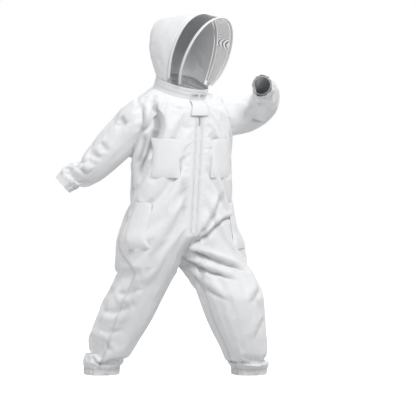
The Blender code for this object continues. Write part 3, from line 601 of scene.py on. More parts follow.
def sinkSeams():
    global points
    valley = np.exp(-(seamGap / (2 * seam["width"])) ** 2)
    pucker = noiseField(points, 0.016, 5) * np.exp(-((seamGap - 0.008) / 0.014) ** 2)
    crumple = noiseField(points, 0.090, 9) * 0.0012 + noiseField(points, 0.030, 11) * 0.0002
    lift = -seam["sink"] * valley + seam["pucker"] * pucker + crumple
    onTape = np.isin(panelOf, [i for i, n in enumerate(clothPanels) if n.startswith("zip_tape")])
    # Painted shade along the seam valleys, none on the zip tapes.
    creaseShade[:] = np.where(onTape, 0.0, np.maximum(creaseShade, seam["shade"] * valley))
    points = points + normal * (lift * smoothstep(0.0, 0.6, free))[:, None]


carveFolds()
setCoords(fineMesh, points)
normal = normalsOf(fineMesh)
gatherEnds()
sinkSeams()
setCoords(fineMesh, points)
normal = normalsOf(fineMesh)
print("folds, gathers and seams shaped")


# Shader groups and materials
def socket(group, name, kind, way="INPUT", value=None):
    made = group.interface.new_socket(name=name, in_out=way, socket_type="NodeSocket" + kind)
    if value is not None:
        made.default_value = value
    return made


def shaderGroup(name, inputs, outputs):
    group = bpy.data.node_groups.new(name, "ShaderNodeTree")
    for label, kind, value in inputs:
        socket(group, label, kind, "INPUT", value)
    for label, kind in outputs:
        socket(group, label, kind, "OUTPUT")
    start, end = group.nodes.new("NodeGroupInput"), group.nodes.new("NodeGroupOutput")
    return group, start, end


def node(tree, kind, inputs=None, **settings):
    made = tree.nodes.new("ShaderNode" + kind)
    for key, value in settings.items():
        setattr(made, key, value)
    for key, value in (inputs or {}).items():
        if isinstance(value, bpy.types.NodeSocket):
            tree.links.new(value, made.inputs[key])
        else:
            made.inputs[key].default_value = value
    return made


def mathNode(tree, operation, a, b=None):
    return node(tree, "Math", {0: a} if b is None else {0: a, 1: b}, operation=operation).outputs[0]


# Over-and-under threads along two directions: a height.
def weaveGroup():
    group, start, end = shaderGroup(
        "plainWeave",
        [("Across", "Float", 0.0), ("Along", "Float", 0.0), ("Pitch", "Float", 0.0011)],
        [("Height", "Float")],
    )
    tree = group
    a = mathNode(tree, "DIVIDE", start.outputs["Across"], start.outputs["Pitch"])
    b = mathNode(tree, "DIVIDE", start.outputs["Along"], start.outputs["Pitch"])
    warp = mathNode(tree, "SINE", mathNode(tree, "MULTIPLY", a, 2 * math.pi))
    weft = mathNode(tree, "SINE", mathNode(tree, "MULTIPLY", b, 2 * math.pi))
    tree.links.new(mathNode(tree, "MULTIPLY", warp, weft), end.inputs["Height"])
    return group


# Uneven yarn tone, and broad random patches painted as the shade of soft creases: a value near one and a
# height.
def slubGroup():
    group, start, end = shaderGroup(
        "slub",
        [("Vector", "Vector", (0.0, 0.0, 0.0)), ("Scale", "Float", 60.0), ("Amount", "Float", 0.05)],
        [("Tone", "Float"), ("Height", "Float")],
    )
    tree = group
    broad = node(tree, "TexNoise", {"Vector": start.outputs["Vector"], "Scale": start.outputs["Scale"],
                                    "Detail": 4.0, "Roughness": 0.6})
    centred = mathNode(tree, "SUBTRACT", broad.outputs[0], 0.5)
    tone = mathNode(tree, "ADD", mathNode(tree, "MULTIPLY", centred, start.outputs["Amount"]), 1.0)
    tree.links.new(tone, end.inputs["Tone"])
    tree.links.new(broad.outputs[0], end.inputs["Height"])
    return group


# Round-cornered holes between threads: one on a thread, nothing in a hole.
def netGroup():
    group, start, end = shaderGroup(
        "netThreads",
        [("Across", "Float", 0.0), ("Along", "Float", 0.0), ("Pitch", "Float", 0.0018),
         ("Thread", "Float", 0.2)],
        [("Mask", "Float"), ("Height", "Float")],
    )
    tree = group
    near = []
    for name in ("Across", "Along"):
        cell = mathNode(tree, "FRACT", mathNode(tree, "DIVIDE", start.outputs[name], start.outputs["Pitch"]))
        near.append(mathNode(tree, "ABSOLUTE", mathNode(tree, "SUBTRACT", cell, 0.5)))
    square = [mathNode(tree, "POWER", mathNode(tree, "MULTIPLY", n, 2.0), 6.0) for n in near]
    edge = mathNode(tree, "POWER", mathNode(tree, "ADD", square[0], square[1]), 1 / 6)
    limit = mathNode(tree, "SUBTRACT", 1.0, start.outputs["Thread"])
    tree.links.new(mathNode(tree, "GREATER_THAN", edge, limit), end.inputs["Mask"])
    tree.links.new(edge, end.inputs["Height"])
    return group


weave, slub, net = weaveGroup(), slubGroup(), netGroup()


def newMaterial(name, base, roughness, metallic=0.0):
    material = bpy.data.materials.new(name)
    material.use_nodes = True
    tree = material.node_tree
    shader = tree.nodes["Principled BSDF"]
    shader.inputs["Base Color"].default_value = (*base, 1.0)
    shader.inputs["Roughness"].default_value = roughness
    shader.inputs["Metallic"].default_value = metallic
    return material, tree, shader


def groupNode(tree, group, inputs):
    made = tree.nodes.new("ShaderNodeGroup")
    made.node_tree = group
    for key, value in inputs.items():
        if isinstance(value, bpy.types.NodeSocket):
            tree.links.new(value, made.inputs[key])
        else:
            made.inputs[key].default_value = value
    return made


# Woven cloth. Its threads follow the piece's own uv, in metres.
def clothMaterial(name, base, pitch, tone, bump, roughness=0.92):
    material, tree, shader = newMaterial(name, base, roughness)
    place = node(tree, "UVMap", uv_map="cloth").outputs[0]
    apart = node(tree, "SeparateXYZ", {0: place})
    threads = groupNode(tree, weave, {"Across": apart.outputs[0], "Along": apart.outputs[1], "Pitch": pitch})
    where = node(tree, "TexCoord").outputs["Object"]
    yarn = groupNode(tree, slub, {"Vector": where, "Scale": 45.0, "Amount": tone})
    # Broad random tone, painted as the shade of soft creases.
    creaseShade = groupNode(tree, slub, {"Vector": where, "Scale": 9.0, "Amount": tone})
    shade = mathNode(tree, "MULTIPLY", yarn.outputs["Tone"], creaseShade.outputs["Tone"])
    # Painted shade: the colour darkens down to 0.55 of itself where fold and seam valleys are marked.
    shadeAmount = node(tree, "Attribute", attribute_name="creaseShade").outputs["Fac"]
    shade = mathNode(tree, "MULTIPLY", shade, node(tree, "MapRange", {0: shadeAmount, 3: 1.0, 4: 0.55}).outputs[0])
    colour = node(tree, "VectorMath", {0: (*base,)}, operation="SCALE")
    tree.links.new(shade, colour.inputs["Scale"])
    tree.links.new(colour.outputs[0], shader.inputs["Base Color"])
    small = node(tree, "Bump", {"Height": threads.outputs[0], "Strength": bump, "Distance": 0.0003})
    broad = node(tree, "Bump", {"Height": yarn.outputs["Height"], "Strength": 0.25, "Distance": 0.0015,
                                "Normal": small.outputs[0]})
    tree.links.new(broad.outputs[0], shader.inputs["Normal"])
    shader.inputs["Sheen Weight"].default_value = 0.15
    return material


def netMaterial(name, base, pitch, thread):
    material, tree, shader = newMaterial(name, base, 0.6)
    place = node(tree, "UVMap", uv_map="cloth").outputs[0]
    apart = node(tree, "SeparateXYZ", {0: place})
    threads = groupNode(tree, net, {"Across": apart.outputs[0], "Along": apart.outputs[1],
                                    "Pitch": pitch, "Thread": thread})
    tree.links.new(threads.outputs["Mask"], shader.inputs["Alpha"])
    rounded = node(tree, "Bump", {"Height": threads.outputs["Height"], "Strength": 0.4, "Distance": 0.0002})
    tree.links.new(rounded.outputs[0], shader.inputs["Normal"])
    return material


def metalMaterial(name, base, roughness):
    material, tree, shader = newMaterial(name, base, roughness, 1.0)
    where = node(tree, "TexCoord").outputs["Object"]
    wear = groupNode(tree, slub, {"Vector": where, "Scale": 400.0, "Amount": 0.5})
    tree.links.new(mathNode(tree, "MULTIPLY", wear.outputs["Tone"], roughness), shader.inputs["Roughness"])
    bump = node(tree, "Bump", {"Height": wear.outputs["Height"], "Strength": 0.1, "Distance": 0.0002})
    tree.links.new(bump.outputs[0], shader.inputs["Normal"])
    return material


cotton = clothMaterial("whiteCotton", (0.86, 0.865, 0.875), 0.0011, 0.025, 0.5)
turnedCotton = clothMaterial("whiteCottonTrim", (0.87, 0.875, 0.885), 0.0011, 0.03, 0.6)
bandCotton = clothMaterial("hoopCotton", (0.84, 0.845, 0.85), 0.0009, 0.03, 0.6)
tapeCloth = clothMaterial("zipTape", (0.88, 0.885, 0.895), 0.0016, 0.03, 0.8, 0.8)
elasticCloth = clothMaterial("elastic", (0.80, 0.81, 0.82), 0.0022, 0.05, 1.0)
hookCloth = clothMaterial("hookAndLoop", (0.80, 0.81, 0.82), 0.0014, 0.12, 1.0)
threadPlain = clothMaterial("sewingThread", (0.80, 0.81, 0.825), 0.0004, 0.02, 0.3, 0.7)
faceNet = netMaterial("faceNet", (0.06, 0.06, 0.063), 0.0011, 0.030)
sideNet = netMaterial("sideNet", (0.035, 0.035, 0.037), 0.0010, 0.26)
toothPlastic, _, _ = newMaterial("zipTeeth", (0.82, 0.83, 0.84), 0.35)
nickel = metalMaterial("nickelSlider", (0.66, 0.66, 0.67), 0.28)
hoopPlastic, _, _ = newMaterial("hoopRod", (0.75, 0.75, 0.73), 0.5)


# Uv in metres, cloth pieces cut from the skin
# Lays the cloth's threads: uv is each point's distance along two directions.
def layUv(mesh, at, across, along):
    layer = mesh.uv_layers.get("cloth") or mesh.uv_layers.new(name="cloth")
    loops = np.empty(len(mesh.loops), np.int32)
    mesh.loops.foreach_get("vertex_index", loops)
    flat = np.stack([at @ np.asarray(across, float), at @ np.asarray(along, float)], axis=1)
    layer.data.foreach_set("uv", flat[loops].astype(np.float32).reshape(-1))


def pieceFrom(name, label, material, across, along, thick=None):
    picked = [i for i, n in enumerate(clothPanels) if n in label]
    keep = [f for f, inside in zip(allFaces, facePanel) if inside in picked]
    used = np.unique(np.concatenate([np.array(f) for f in keep]))
    back = np.full(len(points), -1)
    back[used] = np.arange(len(used))
    mesh = meshFrom(name, points[used], [tuple(back[v] for v in f) for f in keep])
    obj = addMesh(name, mesh)
    mesh.materials.append(material)
    for p in mesh.polygons:
        p.use_smooth = True
    mesh.normals_split_custom_set_from_vertices(normal[used].tolist())
    layUv(mesh, points[used], across, along)
    # The painted shade of fold and seam valleys rides on the piece as an attribute.
    storeField(mesh, "creaseShade", creaseShade[used])
    return obj


allFaces = [tuple(p.vertices) for p in fineMesh.polygons]
faceArray = np.array([f if len(f) == 4 else f + (f[-1],) for f in allFaces])
faceRank = fieldTable[faceArray].mean(axis=1)
facePanel = faceRank.argmin(axis=1)
suitPieces = {}
for side in sides:
    out = -1 if side == "right" else 1
    armWay = np.array((0.80 * out, 0.30, -0.52)) if side == "right" else np.array((0.75, -0.35, -0.2))
    armWay = armWay / np.linalg.norm(armWay)
    armAcross = np.cross(armWay, (0.2, 0.9, 0.3))
    armAcross /= np.linalg.norm(armAcross)
    for kind in ("front_panel", "back_leg"):
        suitPieces[kind + "_" + side] = pieceFrom(
            "cotton_" + kind + "_" + side, [kind + "_" + side], cotton, (1, 0, 0), (0, 0, 1))
    for kind in ("sleeve", "cuff"):
        suitPieces[kind + "_" + side] = pieceFrom(
            "cotton_" + kind + "_" + side, [kind + "_" + side], cotton, armAcross, armWay)
    suitPieces["hem_" + side] = pieceFrom(
        "cotton_hem_" + side, ["hem_" + side], turnedCotton, (1, 0, 0), (0, 0, 1))
    suitPieces["zip_tape_" + side] = pieceFrom(
        "tape_" + side, ["zip_tape_" + side], tapeCloth, (1, 0, 0), (0, 0, 1))
suitPieces["back_bodice"] = pieceFrom("cotton_back_bodice", ["back_bodice"], cotton, (1, 0, 0), (0, 0, 1))
print("cloth pieces cut", len(suitPieces))


# Pieces copied from the CAD and refined
# A CAD node's own surface made smooth. keep(centre, normal) picks the faces that stay.
def refined(name, material, levels=2, keep=None, bevel=None, thickness=None):
    p, f = cadMesh(name)
    mesh = meshFrom(name, p, f)
    bm = bmesh.new()
    bm.from_mesh(mesh)
    bmesh.ops.join_triangles(
        bm, faces=bm.faces, angle_face_threshold=0.6, angle_shape_threshold=1.2,
        cmp_seam=False, cmp_sharp=False, cmp_uvs=False, cmp_vcols=False, cmp_materials=False,
    )
    bm.normal_update()
    if keep:
        gone = [face for face in bm.faces if not keep(face.calc_center_median(), face.normal)]
        bmesh.ops.delete(bm, geom=gone, context="FACES")
    bm.to_mesh(mesh)
    bm.free()
    made = addMesh("raw", mesh)
    if bevel:
        edge = made.modifiers.new("edge", "BEVEL")
        edge.width, edge.segments, edge.limit_method = bevel, 3, "ANGLE"
        edge.angle_limit = math.radians(35)
    if levels:
        smooth = made.modifiers.new("smooth", "SUBSURF")
        smooth.levels = smooth.render_levels = levels
    if thickness:
        wall = made.modifiers.new("wall", "SOLIDIFY")
        wall.thickness, wall.offset = thickness, -1.0
    done = evaluated(made, name)
    dropObject(made)
    done.materials.clear()
    done.materials.append(material)
    obj = addMesh(name + "_piece", done)
    for poly in done.polygons:
        poly.use_smooth = True
    return obj


# Two level directions across a flattish piece, for its threads.
def frameOf(points):
    axes = np.linalg.svd(points - points.mean(0), full_matrices=False)[2]
    return axes[0], axes[1]


def finishCloth(obj):
    at = coords(obj.data)
    along, across = frameOf(at)
    layUv(obj.data, at, across, along)
    return obj


skinTree = treeOf(points, allFaces)
pocket = {"stand": 0.0009, "share": 0.08, "cloth": 0.0013, "even": 14}


# The places after their neighbours have pulled them level a few times.
def evened(mesh, at, rounds):
    pairs = np.array([e.vertices[:] for e in mesh.edges])
    total = np.bincount(pairs.reshape(-1), minlength=len(at))[:, None]
    for _ in range(rounds):
        pull = np.zeros_like(at)
        np.add.at(pull, pairs[:, 0], at[pairs[:, 1]])
        np.add.at(pull, pairs[:, 1], at[pairs[:, 0]])
        at = 0.5 * at + 0.5 * pull / np.maximum(total, 1)
    return at


# A patch pocket laid close to the draped cloth, a little full in the middle.
def hugPocket(name):
    obj = refined(name, cotton, levels=1)
    mesh = obj.data
    at, facing = coords(mesh), normalsOf(mesh)
    lift = np.zeros_like(at)
    for i, p in enumerate(at):
        spot, out, _, gap = skinTree.find_nearest(Vector(p))
        outer = 1.0 if Vector(facing[i]).dot(out) > 0 else 0.0
        stand = pocket["stand"] + gap * pocket["share"] + outer * pocket["cloth"]
        lift[i] = np.array(spot + out * stand) - p
    setCoords(mesh, at + evened(mesh, lift, pocket["even"]))
    return finishCloth(obj)


pocketPieces = {}
for side in sides:
    for kind in ("chest_pocket", "thigh_pocket"):
        pocketPieces[kind + "_" + side] = hugPocket(kind + "_" + side)

hoodMiddle = Vector((0.02, -0.05, 0.12))


def outward(least):
    def keep(centre, facing):
        return facing.dot((centre - hoodMiddle).normalized()) > least
    return keep


hoodPieces = {
    "hood_back": refined("hood_back", cotton, levels=2, keep=outward(0.35), thickness=0.0016),
    "hood_side_net": refined("hood_side_net", sideNet, levels=2, keep=outward(0.35)),
    "hood_face_net": refined("hood_face_net", faceNet, levels=2, keep=outward(0.35)),
    "face_hoop_tunnel": refined("face_hoop_tunnel", bandCotton, levels=1),
    "rear_hoop_tunnel": refined("rear_hoop_tunnel", bandCotton, levels=1),
    "hood_band": refined("hood_band", bandCotton, levels=0, bevel=0.0009),
    "hood_nape_strip": refined("hood_nape_strip", turnedCotton, levels=0, bevel=0.0005),
}
hoodFolds = {"broad": 0.0075, "fine": 0.0030}


def creaseHood(obj):
    mesh = obj.data
    at, facing = coords(mesh), normalsOf(mesh)
    foot = smoothstep(-0.02, 0.07, at[:, 2])
    lift = noiseField(at * (1, 1, 0.45), 0.11, 21) * hoodFolds["broad"]
    lift += noiseField(at * (1, 1, 0.6), 0.045, 22) * hoodFolds["fine"]
    setCoords(mesh, at + facing * (lift * foot)[:, None])


creaseHood(hoodPieces["hood_back"])
for obj in hoodPieces.values():
    finishCloth(obj)

trimPieces = {
    "neck_band": refined("neck_band", turnedCotton, levels=0, bevel=0.0009),
    "nape_strip": refined("nape_strip", turnedCotton, levels=0, bevel=0.0005),
    "throat_tab": refined("throat_tab", turnedCotton, levels=0, bevel=0.0006),
    "waist_elastic": refined("waist_elastic", elasticCloth, levels=0, bevel=0.0006),
    "throat_loop_patch": refined("throat_loop_patch", hookCloth, levels=0, bevel=0.0003),
}
for side in sides:
    for joint in ("wrist", "ankle"):
        trimPieces[joint + "_elastic_" + side] = refined(
            joint + "_elastic_" + side, elasticCloth, levels=1)
flapPieces = {
    "throat_flap": refined("throat_flap", turnedCotton, levels=0, bevel=0.0006),
    "throat_hook_patch": refined("throat_hook_patch", hookCloth, levels=0, bevel=0.0003),
}
for obj in [*trimPieces.values(), *flapPieces.values()]:
    finishCloth(obj)
print("pockets, hood and trim shaped")


# What repeats: stitches and teeth, by geometry nodes
# Sets a small shape on every point, its Z along "ahead" and its X along "across".
def repeatTree(name, shape):
    tree = bpy.data.node_groups.new(name, "GeometryNodeTree")
    tree.interface.new_socket(name="Geometry", in_out="INPUT", socket_type="NodeSocketGeometry")
    sizes = {}
    for label in ("Across", "Thick", "Along", "Variation"):
        sizes[label] = tree.interface.new_socket(name=label, in_out="INPUT", socket_type="NodeSocketFloat")
    tree.interface.new_socket(name="Material", in_out="INPUT", socket_type="NodeSocketMaterial")
    tree.interface.new_socket(name="Geometry", in_out="OUTPUT", socket_type="NodeSocketGeometry")
    new, link = tree.nodes.new, tree.links.new
    start, end = new("NodeGroupInput"), new("NodeGroupOutput")
    if shape == "stitch":
        solid = new("GeometryNodeMeshUVSphere")
        solid.inputs["Segments"].default_value = 6
        solid.inputs["Rings"].default_value = 4
        solid.inputs["Radius"].default_value = 0.5
    else:
        solid = new("GeometryNodeMeshCube")
    size = new("ShaderNodeCombineXYZ")
    link(start.outputs["Across"], size.inputs[0])
    link(start.outputs["Thick"], size.inputs[1])
    link(start.outputs["Along"], size.inputs[2])
    formed = new("GeometryNodeTransform")
    link(solid.outputs["Mesh"], formed.inputs["Geometry"])
    link(size.outputs[0], formed.inputs["Scale"])
    turns = []
    for label, axis in (("ahead", "Z"), ("across", "X")):
        read = new("GeometryNodeInputNamedAttribute")
        read.data_type = "FLOAT_VECTOR"
        read.inputs["Name"].default_value = label
        align = new("FunctionNodeAlignRotationToVector")
        align.axis = axis
        link(read.outputs["Attribute"], align.inputs["Vector"])
        turns.append(align)
    turns[1].pivot_axis = "Z"
    link(turns[0].outputs[0], turns[1].inputs["Rotation"])
    draw = new("FunctionNodeRandomValue")
    draw.data_type = "FLOAT"
    draw.inputs["Seed"].default_value = 7
    spread = new("ShaderNodeMath")
    spread.operation = "SUBTRACT"
    spread.inputs[0].default_value = 1.0
    link(start.outputs["Variation"], spread.inputs[1])
    link(spread.outputs[0], draw.inputs[2])
    draw.inputs[3].default_value = 1.0
    place = new("GeometryNodeInstanceOnPoints")
    link(start.outputs["Geometry"], place.inputs["Points"])
    link(formed.outputs[0], place.inputs["Instance"])
    link(turns[1].outputs[0], place.inputs["Rotation"])
    link(draw.outputs[1], place.inputs["Scale"])
    real = new("GeometryNodeRealizeInstances")
    link(place.outputs[0], real.inputs[0])
    paint = new("GeometryNodeSetMaterial")
    link(real.outputs[0], paint.inputs["Geometry"])
    link(start.outputs["Material"], paint.inputs["Material"])
    link(paint.outputs[0], end.inputs[0])
    return tree


stitchTree = repeatTree("stitches", "stitch")
toothTree = repeatTree("teeth", "tooth")


# One plain mesh with the tree's shape on every spot.
def repeatAlong(name, tree, spots, ahead, across, values, material):
    mesh = meshFrom(name, spots, [])
    for label, data in (("ahead", ahead), ("across", across)):
        made = mesh.attributes.new(label, "FLOAT_VECTOR", "POINT")
        made.data.foreach_set("vector", np.ascontiguousarray(data, np.float32).reshape(-1))
    seed = addMesh(name + "_points", mesh, fittings)
    nodesModifier = seed.modifiers.new("repeat", "NODES")
    nodesModifier.node_group = tree
    identifiers = {item.name: item.identifier for item in tree.interface.items_tree
                   if item.in_out == "INPUT"}
    for label, value in values.items():
        nodesModifier[identifiers[label]] = value
    nodesModifier[identifiers["Material"]] = material
    done = evaluated(seed, name)
    dropObject(seed)
    for poly in done.polygons:
        poly.use_smooth = True
    obj = addMesh(name, done, fittings)
    layUv(done, coords(done), (1, 0, 0), (0, 0, 1))
    return obj


# Points every pitch along a line, with the way ahead at each.
def spaced(line, pitch, start=0.0):
    line = np.asarray(line, float)
    steps = np.linalg.norm(np.diff(line, axis=0), axis=1)
    total = np.concatenate([[0], np.cumsum(steps)])
    where = np.arange(start, total[-1], pitch)
    if len(where) < 2:
        return np.zeros((0, 3)), np.zeros((0, 3))
    spots = np.stack([np.interp(where, total, line[:, k]) for k in range(3)], axis=1)
    ahead = np.gradient(spots, axis=0)
    ahead /= np.maximum(np.linalg.norm(ahead, axis=1), 1e-9)[:, None]
    return spots, ahead


# Lines over the suit's skin on which the field has the value, as ordered points.
def isoLines(field, value, allowed):
    links, spot = {}, {}
    inside = field > value
    for quad in faceArray[allowed[faceArray].all(axis=1)]:
        crossed = []
        for k in range(4):
            a, b = quad[k], quad[(k + 1) % 4]
            if a != b and inside[a] != inside[b]:
                key = (min(a, b), max(a, b))
                t = (value - field[key[0]]) / (field[key[1]] - field[key[0]])
                spot[key] = (points[key[0]] * (1 - t) + points[key[1]] * t,
                             normal[key[0]] * (1 - t) + normal[key[1]] * t)
                crossed.append(key)
        if len(crossed) == 2:
            links.setdefault(crossed[0], []).append(crossed[1])
            links.setdefault(crossed[1], []).append(crossed[0])
    lines, seen = [], set()
    starts = [k for k, v in links.items() if len(v) == 1] + list(links)
    for first in starts:
        if first in seen:
            continue
        seen.add(first)
        chain, here = [first], first
        while True:
            onward = [k for k in links[here] if k not in seen]
            if not onward:
                break
            here = onward[0]
            seen.add(here)
            chain.append(here)
        if len(chain) > 12:
            line = np.array([spot[k][0] for k in chain])
            for _ in range(3):
                line[1:-1] = 0.5 * line[1:-1] + 0.25 * (line[:-2] + line[2:])
            lines.append((line, np.array([spot[k][1] for k in chain])))
    return lines


stitch = {"pitch": 0.0036, "length": 0.0028, "width": 0.0008, "inset": (0.0030, 0.0085)}
seamPairs = []
for side in sides:
    front, leg, arm = "front_panel_" + side, "back_leg_" + side, "sleeve_" + side
    seamPairs += [(front, leg), (front, "back_bodice"), (front, arm), ("back_bodice", arm),
                  ("cuff_" + side, arm), ("back_bodice", leg), ("hem_" + side, front),
                  ("hem_" + side, leg), (front, "zip_tape_" + side)]
seamPairs += [("front_panel_left", "front_panel_right"), ("back_leg_left", "back_leg_right")]
column = {n: i for i, n in enumerate(clothPanels)}


def sewSeams():
    spots, ways, sides_ = [], [], []
    for a, b in seamPairs:
        i, j = column[a], column[b]
        pair = (np.isin(order[:, 0], (i, j)) & np.isin(order[:, 1], (i, j)))
        field = fieldTable[:, j] - fieldTable[:, i]
        for inset in stitch["inset"]:
            for line, facing in isoLines(field, inset + 0.0014, pair):
                at, ahead = spaced(line, stitch["pitch"])
                if not len(at):
                    continue
                near = ((at[:, None, :] - line[None, ::4, :]) ** 2).sum(2).argmin(1) * 4
                out = facing[np.minimum(near, len(facing) - 1)]
                across = np.cross(ahead, out)
                spots.append(at + out * stitch["width"] * 0.2)
                ways.append(ahead)
                sides_.append(across)
    return np.concatenate(spots), np.concatenate(ways), np.concatenate(sides_)


seamSpots, seamAhead, seamAcross = sewSeams()
seamStitches = repeatAlong(
    "seam_stitches", stitchTree, seamSpots, seamAhead, seamAcross,
    {"Across": stitch["width"], "Thick": stitch["width"], "Along": stitch["length"], "Variation": 0.15},
    threadPlain,
)
print("stitches", len(seamSpots), "triangles", len(seamStitches.data.polygons))


# Zips
zipTeeth = {"pitch": 0.0030, "across": 0.0042, "thick": 0.0021, "along": 0.0017}


# The points of both halves of a zip's tape together, from the CAD.
def tapeLine(names):
    parts = [cadMesh(n)[0] for n in names]
    return np.concatenate(parts)


def mainTeeth():
    both = tapeLine(["zip_tape_left", "zip_tape_right"])
    high, low = both[:, 2].max(), both[:, 2].min()
    top = both[both[:, 2] > high - 0.004].mean(0)
    bottom = both[both[:, 2] < low + 0.004].mean(0)
    way = (bottom - top) / np.linalg.norm(bottom - top)
    across = np.cross((0, -1, 0), way)
    across /= np.linalg.norm(across)
    made = {}
    for side, sign in (("left", 1), ("right", -1)):
        sense = sign if across[0] > 0 else -sign
        line = np.array([top, bottom]) + across * sense * zipTeeth["across"] * 0.36
        shift = zipTeeth["pitch"] * (0.25 if side == "left" else 0.75)
        at, ahead = spaced(line, zipTeeth["pitch"], shift)
        made["main_teeth_" + side] = repeatAlong(
            "main_teeth_" + side, toothTree, at, ahead, np.tile(across, (len(at), 1)),
            {"Across": zipTeeth["across"], "Thick": zipTeeth["thick"], "Along": zipTeeth["along"],
             "Variation": 0.0}, toothPlastic)
    return made


# Teeth along one half of the neck zip; up is the way its tape lies.
def ringTeeth(name, up):
    centre, axis, radius = ringOf("neck_zip_" + name)
    axis = axis * (1 if axis[2] > 0 else -1)
    middle = np.zeros(3)
    p, _ = cadMesh("neck_zip_" + name)
    flat = p - np.outer(p @ axis, axis)
    radius = np.linalg.norm(flat, axis=1).mean()
    first = -axis[:, None].T[0] * 0 + np.cross(axis, (1, 0, 0))
    first /= np.linalg.norm(first)
    second = np.cross(axis, first)
    angles = np.sort(np.arctan2(flat @ second, flat @ first))
    gap = np.diff(np.concatenate([angles, [angles[0] + 2 * math.pi]]))
    k = gap.argmax()
    start = angles[(k + 1) % len(angles)]
    length = 2 * math.pi - gap[k]
    turn = start + np.linspace(0, length, 240)
    line = radius * (np.outer(np.cos(turn), first) + np.outer(np.sin(turn), second))
    line += axis * up * zipTeeth["across"] * 0.36
    at, ahead = spaced(line, zipTeeth["pitch"], zipTeeth["pitch"] * (0.25 if up > 0 else 0.75))
    return repeatAlong(
        "neck_teeth_" + name, toothTree, at, ahead, np.tile(axis, (len(at), 1)),
        {"Across": zipTeeth["across"], "Thick": zipTeeth["thick"], "Along": zipTeeth["along"],
         "Variation": 0.0}, toothPlastic)


teethPieces = mainTeeth()
teethPieces["neck_teeth_lower"] = ringTeeth("lower", -1)
teethPieces["neck_teeth_upper"] = ringTeeth("upper", 1)
neckTapes = {
    "neck_zip_lower": refined("neck_zip_lower", tapeCloth, levels=0, bevel=0.0002),
    "neck_zip_upper": refined("neck_zip_upper", tapeCloth, levels=0, bevel=0.0002),
}
for obj in neckTapes.values():
    finishCloth(obj)
for name in ("main_slider", "main_pull", *(f"neck_{k}_{s}" for k in ("slider", "pull") for s in sides)):
    nodes[name].data.materials.clear()
    nodes[name].data.materials.append(nickel)
for name in ("face_hoop", "rear_hoop"):
    nodes[name].data.materials.clear()
    nodes[name].data.materials.append(hoopPlastic)
print("zips made")


# Studio
view = {"azimuth": -20.0, "elevation": 1.5, "distance": 7.5, "lens": 149.0, "shiftX": 0.046, "shiftY": -0.016}
studioLight = {"around": 0.60, "key": 82.0, "fill": 14.0, "behind": 64.0, "floor": 0.78}
target = Vector((0.036, 0.0, -0.497))


def area(name, place, aim, size, power, colour=(1, 1, 1)):
    light = bpy.data.lights.new(name, "AREA")
    light.shape = "RECTANGLE"
    light.size, light.size_y = size
    light.energy = power
    light.color = colour
    made = bpy.data.objects.new(name, light)
    studio.objects.link(made)
    made.location = place
    made.rotation_euler = (Vector(aim) - Vector(place)).to_track_quat("-Z", "Y").to_euler()
    return made


def buildStudio():
    floor = bpy.data.meshes.new("floor")
    bm = bmesh.new()
    bmesh.ops.create_grid(bm, x_segments=1, y_segments=1, size=9.0)
    bm.to_mesh(floor)
    bm.free()
    ground = addMesh("floor", floor, studio)
    ground.location.z = cadBox[0][2] - 0.0005
    material, floorTree, shader = newMaterial("paleFloor", (0.55, 0.55, 0.555), 0.9)
    shader.inputs["Emission Color"].default_value = (1.0, 1.0, 1.0, 1.0)
    direct = node(floorTree, "LightPath").outputs["Is Camera Ray"]
    glow = mathNode(floorTree, "MULTIPLY", direct, studioLight["floor"])
    floorTree.links.new(glow, shader.inputs["Emission Strength"])
    floor.materials.append(material)
    world = bpy.data.worlds.new("studio")
    bpy.context.scene.world = world
    world.use_nodes = True
    tree = world.node_tree
    back = tree.nodes["Background"]
    back.inputs[0].default_value = (1.0, 1.0, 1.0, 1.0)
    seen = tree.nodes.new("ShaderNodeLightPath")
    level = node(tree, "MapRange", {0: seen.outputs["Is Camera Ray"], 3: studioLight["around"], 4: 1.0})
    tree.links.new(level.outputs[0], back.inputs[1])
    bpy.context.scene.view_settings.view_transform = "Standard"
    around = Matrix.Rotation(math.radians(view["azimuth"]), 3, "Z")
    area("key", around @ Vector((1.2, -2.4, 2.4)), target, (1.6, 1.6), studioLight["key"])
    area("fill", around @ Vector((-2.6, -2.2, 0.6)), target, (2.2, 2.2), studioLight["fill"])
    area("behind", around @ Vector((1.0, 3.2, 2.0)), target, (2.4, 2.4), studioLight["behind"])
    camera = bpy.data.cameras.new("camera")
    camera.lens = view["lens"]
    camera.shift_x, camera.shift_y = view["shiftX"], view["shiftY"]
    eye = bpy.data.objects.new("camera", camera)
    studio.objects.link(eye)
    a, e = math.radians(view["azimuth"]), math.radians(view["elevation"])
    back = Vector((math.sin(a) * math.cos(e), -math.cos(a) * math.cos(e), math.sin(e)))
    eye.location = target + back * view["distance"]
    eye.rotation_mode = "QUATERNION"
    eye.rotation_quaternion = (-back).to_track_quat("-Z", "Y")
    camera.clip_end = 60.0
    bpy.context.scene.camera = eye


buildStudio()

# What rides on what, and what each piece stands for
for name, obj in suitPieces.items():
    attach(obj, "suit")
    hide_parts(name)
for name, obj in {**pocketPieces, **trimPieces}.items():
    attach(obj, "suit")
    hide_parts(name)
for name, obj in hoodPieces.items():
    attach(obj, "hood")
    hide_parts(name)
for name, obj in flapPieces.items():
    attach(obj, "throat_flap")
    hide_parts(name)
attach(seamStitches, "suit")
for name, obj in neckTapes.items():
    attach(obj, "hood" if name.endswith("upper") else "suit")
    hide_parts(name)
for name, obj in teethPieces.items():
    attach(obj, "hood" if name.endswith("upper") else "suit")
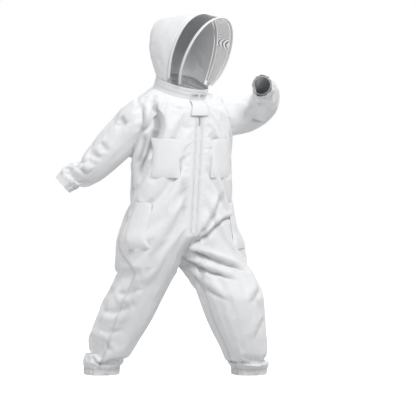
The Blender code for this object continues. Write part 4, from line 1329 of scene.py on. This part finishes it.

# The flat cuts: width and length before sewing, what the cloth hangs from, and the area of a shaped pattern
# piece.
cuts = {
    "front_panel": dict(flat=(0.50, 1.26), area=0.41, held="hung", on=["neck_band"]),
    "back_leg": dict(flat=(0.52, 0.84), area=0.37, held="hung", on=["waist_elastic"]),
    "back_bodice": dict(flat=(0.58, 0.52), area=0.24, held="hung", on=["neck_band"]),
    "sleeve": dict(flat=(0.52, 0.46), area=0.19, held="hung", on=["back_bodice"]),
    "cuff": dict(flat=(0.30, 0.04), area=0.011, held="gathered", on=["sleeve_right"]),
    "hem": dict(flat=(0.50, 0.03), area=0.015, held="gathered", on=["back_leg_right"]),
    "zip_tape": dict(flat=(0.010, 0.48), held="laid", on=["front_panel_right"]),
    "chest_pocket": dict(flat=(0.13, 0.17), held="laid", on=["front_panel_right"]),
    "thigh_pocket": dict(flat=(0.13, 0.20), held="laid", on=["front_panel_right"]),
    "hood_back": dict(flat=(0.60, 0.40), area=0.17, held="stretched", on=["rear_hoop_tunnel"]),
    "hood_side_net": dict(flat=(0.72, 0.11), area=0.053, held="stretched", on=["face_hoop_tunnel"]),
    "hood_face_net": dict(flat=(0.27, 0.30), area=0.064, held="stretched", on=["face_hoop_tunnel"]),
    "hoop_tunnel": dict(flat=(0.72, 0.024), held="folded", on=["hood_band"]),
    "neck_band": dict(flat=(0.73, 0.016), held="folded", on=["front_panel_right"]),
    "hood_band": dict(flat=(0.73, 0.016), held="folded", on=["hood_back"]),
    "neck_zip": dict(flat=(0.64, 0.011), held="laid", on=["neck_band"]),
    "nape_strip": dict(flat=(0.08, 0.013), held="laid", on=["neck_band"]),
    "throat_tab": dict(flat=(0.06, 0.05), held="laid", on=["front_panel_right"]),
    "throat_flap": dict(flat=(0.06, 0.12), held="folded", on=["front_panel_left"]),
    "throat_loop_patch": dict(flat=(0.029, 0.043), held="laid", on=["throat_tab"]),
    "throat_hook_patch": dict(flat=(0.029, 0.045), held="laid", on=["throat_flap"]),
    "waist_elastic": dict(flat=(0.50, 0.035), held="stretched", on=["back_bodice"]),
    "ankle_elastic": dict(flat=(0.40, 0.015), held="stretched", on=["hem_right"]),
}
# The wrist elastics are braid 2.4 mm wide, too narrow to be a sheet.
everySheet = {**suitPieces, **pocketPieces, **trimPieces, **hoodPieces, **flapPieces, **neckTapes}
for name, obj in everySheet.items():
    key = next((k for k in sorted(cuts, key=len, reverse=True) if k in name), None)
    if key is None:
        continue
bpy.context.view_layer.update()
